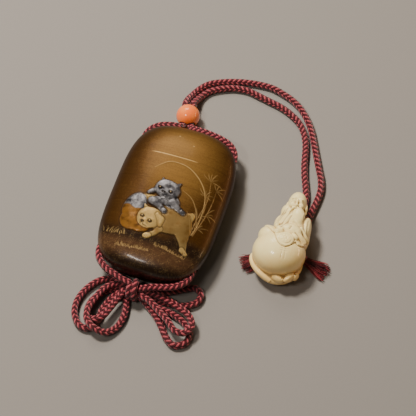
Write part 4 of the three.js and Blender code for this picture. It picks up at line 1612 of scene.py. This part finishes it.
@dataclass
class IvoryToggle:
    """A seated, bearded sage in a wide robe, carved in the round as a toggle.

    Its own frame has u to the right, v towards the head and w up from the table.
    """

    finish: bpy.types.Material
    place: Point = (61.5, -7.0)
    lean: float = 5.5
    clearance: float = 0.05
    coarse: float = 0.45
    coarse_rounds: int = 9
    grain: float = 0.25
    grain_rounds: int = 2
    line_fade: float = 0.14
    robe_step: float = 0.5
    seam: float = 0.3
    hollow_rounds: int = 24
    deep_hollow: float = 0.16
    deep_groove: float = 0.3

    # The great sack, the body behind it, the arms and sleeves, the head and the beard
    MASSES = (
        Lump((-1.5, -1.6, 10.4), (13.2, 11.6, 10.6)), Lump((2.6, 9.6, 8.6), (9, 13, 8.4)),
        Lump((-1.2, -3.6, 5), (12.2, 12.4, 5)), Lump((-1.6, 13, 9.4), (5.4, 7.2, 6.2), 20),
        Lump((8.2, 11.2, 9.8), (3.2, 9.4, 6), -4), Lump((0.8, 15, 13.6), (5.4, 5, 3.4)),
        Lump((2, 26, 11.4), (4.7, 6.8, 5.8)), Lump((4, 17.2, 14.8), (3.6, 5.4, 3.2), 8, 8),
        Lump((-0.6, 19.6, 9.4), (4.2, 6.6, 5.8), 24), Lump((-7.9, 5.6, 11), (5.7, 5.2, 6.2), -30),
        Lump((1.8, 8.4, 16.8), (6, 3.4, 2.6), -4),
    )
    # Brows, eyes, nose, cheeks, lips and ears, then the fan, the toes and the hands
    FEATURES = (
        Lump((0.48, 26.5, 16.9), (1.38, 0.5, 0.6), 8), Lump((3.72, 26.5, 16.9), (1.38, 0.5, 0.6), -8),
        Lump((0.44, 25.1, 16.85), (1.01, 0.62, 0.55), 4), Lump((3.77, 25.1, 16.85), (1.01, 0.62, 0.55), -4),
        Lump((2.1, 24.2, 17.3), (0.57, 1.9, 0.8)), Lump((2.1, 22.75, 17.35), (0.87, 0.7, 0.85)),
        Lump((1.33, 22.8, 16.9), (0.46, 0.45, 0.5)), Lump((2.87, 22.8, 16.9), (0.46, 0.45, 0.5)),
        Lump((0.12, 23.3, 16.1), (1.47, 1.5, 1.1)), Lump((4.08, 23.3, 16.1), (1.47, 1.5, 1.1)),
        Lump((2.1, 21.3, 16.45), (1.06, 0.32, 0.45)), Lump((2.1, 20.65, 16.3), (0.78, 0.36, 0.45)),
        Lump((-2.58, 24.2, 11.8), (0.78, 2.3, 1.6)), Lump((6.78, 24.2, 11.8), (0.78, 2.3, 1.6)),
        Lump((-2.67, 21.9, 12.2), (0.69, 1.3, 1)), Lump((6.87, 21.9, 12.2), (0.69, 1.3, 1)),
        Lump((0.6, 1.8, 19.7), (3.9, 3.9, 1.5)), Lump((0.2, -13.7, 7.4), (3.6, 1.9, 2.7), -24),
        Lump((5.9, -12.5, 7.8), (3.2, 1.8, 2.7), 50), Lump((9.0, -11.0, 7.2), (2.1, 1.1, 2.4), 65),
        Lump((-3.4, 5.6, 18.8), (2.2, 1.3, 1.2), 18), Lump((4.6, 4.6, 18.6), (2, 1.3, 1.2), -40),
    )
    # The cord round the sack's foot, the moustache and the sleeves' rolls: a route and a radius each
    RODS = (
        (((-12.6, -1.2, 5.4), (-13.9, -4.6, 6.6), (-12.6, -8.4, 7.2), (-9.8, -11.4, 7), (-6.2, -13.5, 6.4),
          (-2.6, -14.8, 5.4)), 1.6),
        (((1.74, 21.9, 16.8), (0.3, 20.9, 16.5), (-0.87, 18.4, 15.2)), 0.55),
        (((2.46, 21.9, 16.8), (3.9, 20.9, 16.5), (5.25, 18.4, 15.4)), 0.55),
        (((3.6, 9.6, 17.8), (6.6, 6.6, 17.0), (9.8, 3.8, 14)), 1.1),
        (((6.4, 11.6, 16.2), (8.6, 8.4, 15.0), (10.6, 6.0, 11.6)), 1.1),
        (((-5.4, 12.0, 14.0), (-3.9, 8.8, 17.0), (-1.4, 7.0, 18.6)), 1.2),
    )
    FAN = (0.6, 1.8)
    ROBE_EDGE = (
        (-14, 11), (-9.6, 9.2), (-7.0, 6.8), (-5.2, 4.4), (-3.9, 1.6), (-2.6, -0.8), (-0.8, -2.3),
        (1.4, -2.7), (3.2, -1.6), (4.8, 0.6), (5.8, 1.6), (7.0, 0.6), (8.7, 0.8), (10.2, 2.8),
        (11.7, 4), (14, 4.8),
    )
    FOLDS = (
        ((-1.6, 23), (-3.0, 19), (-4.6, 14.8), (-7.6, 10.4)),
        ((0.2, 20.2), (-1.2, 16.2), (-3.2, 12), (-5.6, 8)),
        ((-3.2, 21.4), (-4.6, 17.4), (-6, 13.4)), ((1, 18), (0, 13.5), (-2.4, 9.6), (-3.6, 7.4)),
        ((7.6, 19.2), (7.2, 14.5), (8.6, 9.5)), ((9.4, 18.4), (9.7, 12.5), (10.6, 7.8)),
        ((7.2, 9.6), (9.2, 6.8), (11.4, 4.9)), ((4.2, 7.2), (6.6, 4.4), (8.8, 1.8)),
        ((2.2, 10.4), (1.4, 7.6)),
    )
    FINE_LINES = (
        ((-0.5, 25.0), (0.4, 24.65), (1.35, 25.0)), ((2.85, 25.0), (3.75, 24.65), (4.7, 25.0)),
        ((1.1, 20.98), (2.1, 20.88), (3.1, 20.98)), ((0.6, 28.3), (2.1, 28.5), (3.6, 28.3)),
        ((0.5, -3.2), (0.4, -8.6)), ((1.9, -3.2), (2.1, -8.4)), ((-0.8, -4.0), (3.2, -3.8)),
        ((-0.7, -5.0), (3.0, -4.8)), ((1.5, -14.6), (1.8, -13.0)), ((2.4, -14.9), (2.7, -13.4)),
        ((4.2, -13.3), (5.1, -12.6)), ((4.9, -14.0), (5.7, -13.2)),
    )

    def _ball(self, lump: Lump) -> bpy.types.Object:
        """One mass as a ball, scaled, turned and put in its place.

        Args:
            lump: The mass.

        Returns:
            The ball.
        """
        bpy.ops.mesh.primitive_uv_sphere_add(segments=48, ring_count=32, radius=1)
        ball = bpy.context.object
        turn = Matrix.Rotation(math.radians(lump.turn), 3, "Z")
        turn = turn @ Matrix.Rotation(math.radians(lump.tilt), 3, "X")
        places = (points_of(ball) * MM * lump.half) @ np.array(turn.transposed()) + lump.place
        set_points(ball, places)
        return ball

    def _skin(self, parts: Sequence[bpy.types.Object], grain: float, rounds: int) -> bpy.types.Object:
        """Join parts into one skin and smooth it.

        Args:
            parts: Closed parts, which are used up.
            grain: Size of the new skin's faces, in millimetres.
            rounds: How often it is smoothed.

        Returns:
            The skin.
        """
        deselect()
        for part in parts:
            part.select_set(True)
        bpy.context.view_layer.objects.active = parts[0]
        bpy.ops.object.join()
        piece = bpy.context.object
        apply_modifier(piece, "REMESH", mode="VOXEL", voxel_size=grain * MM, adaptivity=0)
        apply_modifier(piece, "SMOOTH", factor=0.5, iterations=rounds)
        return piece

    def _lines(self) -> list[tuple[Sequence[Point], float, float]]:
        """All cut lines: folds, fine lines, beard and fan.

        Returns:
            For each line its route, its width and its depth.
        """
        lines = [(route, 0.6, 0.36) for route in self.FOLDS]
        lines += [(route, 0.2, 0.2) for route in self.FINE_LINES]
        for i in range(-4, 5):
            lock = ((2.3 + 0.3 * i, 20.4), (3.0 + 0.66 * i, 17.0), (4.2 + 0.7 * i, 12.4))
            lines.append((lock, 0.24, 0.2))
        hub = np.array(self.FAN)
        turns = np.linspace(0, 2 * math.pi, 40)
        for radius in (0.9, 3.0):
            ring = [hub + (radius * math.cos(a), radius * math.sin(a)) for a in turns]
            lines += [(ring[:21], 0.24, 0.22), (ring[20:], 0.24, 0.22)]
        for a in np.arange(8) * math.pi / 4:
            along = np.array((math.cos(a), math.sin(a)))
            lines.append(((hub + 1.3 * along, hub + 2.6 * along), 0.26, 0.14))
        return lines

    def _carve(self, piece: bpy.types.Object) -> None:
        """Cut the lines, step the robe's edge, and note where brown stain gathers.

        Args:
            piece: The toggle, in its own frame.
        """
        places, normals = points_of(piece), normals_of(piece)
        u, v = places[:, 0], places[:, 1]
        upper = smoothstep(-0.1, 0.3, normals[:, 2])
        cuts = np.zeros(len(u))
        for route, width, depth in self._lines():
            near = (np.abs(u - np.mean([p[0] for p in route])) < 14) & (normals[:, 2] > -0.1)
            distance, along = line_distance(u[near], v[near], route)
            fade = smoothstep(0, self.line_fade, along) * smoothstep(0, self.line_fade, 1 - along)
            cut_depth = depth * np.exp(-((distance / width) ** 2)) * (0.3 + 0.7 * fade)
            cuts[near] = np.maximum(cuts[near], cut_depth)
        edge = np.interp(u, *zip(*self.ROBE_EDGE))
        head = smoothstep(18, 15, v)
        step = self.robe_step * smoothstep(-0.1, 0.25, v - edge) * smoothstep(8, 3, v - edge) * head
        seam = self.seam * np.exp(-(((v - edge + 0.25) / 0.3) ** 2))
        cuts = (cuts + seam) * upper
        places += normals * (step * upper - cuts)[:, None]
        set_points(piece, places)
        mean = neighbour_mean(piece, places, self.hollow_rounds)
        hollow = np.einsum("ij,ij->i", mean - places, normals_of(piece))
        set_attribute(piece, "recess", np.clip(hollow / self.deep_hollow, 0, 1))
        set_attribute(piece, "groove", np.clip(cuts / self.deep_groove, 0, 1.5))

    def _set_down(self, piece: bpy.types.Object) -> None:
        """Lean the toggle in the picture and lay it on the table.

        Args:
            piece: The toggle, in its own frame.
        """
        turn = Matrix.Rotation(math.radians(self.lean), 3, "Z")
        places = points_of(piece) @ np.array(turn.transposed())
        places[:, 2] += self.clearance - places[:, 2].min()
        places[:, :2] += self.place
        set_points(piece, places)

    def build(self) -> bpy.types.Object:
        """Make the toggle.

        Returns:
            The piece.
        """
        masses = self._skin([self._ball(lump) for lump in self.MASSES], self.coarse, self.coarse_rounds)
        rods = [
            BraidedCord(diameter=2 * radius, relief=0.0, sides=24, step=0.4).tube(route)[0]
            for route, radius in self.RODS
        ]
        features = [self._ball(lump) for lump in self.FEATURES]
        piece = self._skin([masses, *rods, *features], self.grain, self.grain_rounds)
        self._carve(piece)
        self._set_down(piece)
        return finish_piece(piece, "ivory_toggle", self.finish, ("netsuke",), smooth_angle=60)


@dataclass
class Tuft:
    """A frayed end of the cord: many thin silk threads that fan out from a point."""

    finish: bpy.types.Material
    name: str
    node: str
    place: Point
    turn: float
    length: float
    width: float
    threads: int = 110
    thickness: float = 0.34
    sides: int = 5
    seed: int = 3

    def build(self) -> bpy.types.Object:
        """Make the tuft as one mesh.

        Returns:
            The piece.
        """
        random = np.random.default_rng(self.seed)
        angle = math.radians(self.turn)
        forward = np.array((math.cos(angle), math.sin(angle), 0))
        sideways = np.array((-math.sin(angle), math.cos(angle), 0))
        vertices, faces, shades = [], [], []
        for _ in range(self.threads):
            across, high = random.uniform(-1, 1), random.uniform(0, 1)
            reach = self.length * random.uniform(0.72, 1.0) * (1 - 0.12 * across**2)
            kink = random.normal(0, 0.5, 3)
            route = []
            for share in (0, 0.2, 0.45, 0.7, 0.88, 1.0):
                open_ = smoothstep(0, 1, np.array(share)) * 0.66 + 0.34
                side = across * self.width / 2 * open_ + kink[0] * share * math.sin(5 * share + kink[2])
                height = 0.3 + (0.4 + 2.6 * high) * (1 - 0.45 * share) + 0.35 * kink[1] * share
                flat = np.array((*self.place, 0)) + forward * reach * share + sideways * side
                route.append(flat + (0, 0, max(0.25, height)))
            self._thread(smooth_route(route, 0.55), random.uniform(0, 1), vertices, faces, shades)
        piece = mesh_piece(self.name, np.array(vertices), faces)
        set_attribute(piece, "thread", np.array(shades))
        return finish_piece(piece, self.name, self.finish, (self.node,), smooth_angle=60)

    def _thread(
        self, line: np.ndarray, shade: float, vertices: list[np.ndarray], faces: list[tuple[int, ...]],
        shades: list[float],
    ) -> None:
        """Add one thread along a line, thinner towards its tip.

        Args:
            line: The thread's middle.
            shade: How light the thread is, from 0 to 1.
            vertices: The tuft's vertices so far.
            faces: Its faces so far.
            shades: The lightness at each vertex so far.
        """
        frames = carried_frames(line)
        start, n = len(vertices), self.sides
        for i, (point, (side, up)) in enumerate(zip(line, frames)):
            radius = self.thickness / 2 * (1 - 0.5 * (i / (len(line) - 1)) ** 3)
            for j in range(n):
                angle = 2 * math.pi * j / n
                vertices.append(point + radius * (math.cos(angle) * side + math.sin(angle) * up))
                shades.append(shade)
        for i in range(len(line) - 1):
            for j in range(n):
                k = (j + 1) % n
                a, b = start + i * n, start + (i + 1) * n
                faces.append((a + j, a + k, b + k, b + j))
        faces.append(tuple(start + j for j in reversed(range(n))))
        faces.append(tuple(start + (len(line) - 1) * n + j for j in range(n)))


def dress_node(node: bpy.types.Object, material: bpy.types.Material) -> None:
    """Give a CAD node that stays as it is a material of the scene."""
    node.data.materials.clear()
    node.data.materials.append(material)


def main() -> None:
    """Build the object piece by piece, then the room around it."""
    logging.basicConfig(level=logging.INFO, format="%(name)s: %(message)s")
    deselect()
    studio = Studio()
    studio.camera()
    silk, frayed = BraidedSilk().build(), FrayedSilk().build()
    bead = OjimeBead(Coral().build()).build()
    toggle = IvoryToggle(Ivory().build()).build()
    tufts = (
        Tuft(frayed, "frayed_end_left", "tassel_left", (52.4, -9.0), 220, 12.6, 10).build(),
        Tuft(frayed, "frayed_end_right", "tassel_right", (72.6, -4.4), -16, 14, 9.6, seed=8).build(),
    )
    CordSet(BraidedCord(), silk).build(bead, toggle, tufts)
    for name in ("cord_channel_left", "cord_channel_right"):
        dress_node(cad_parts[name], silk)
    InroCase(GoldLacquer().build()).build()
    studio.floor()
    studio.sky()
    for lamp in (studio.KEY, studio.FILL, studio.FRONT, studio.EDGE):
        studio.light(lamp)


if __name__ == "__main__":
    main()
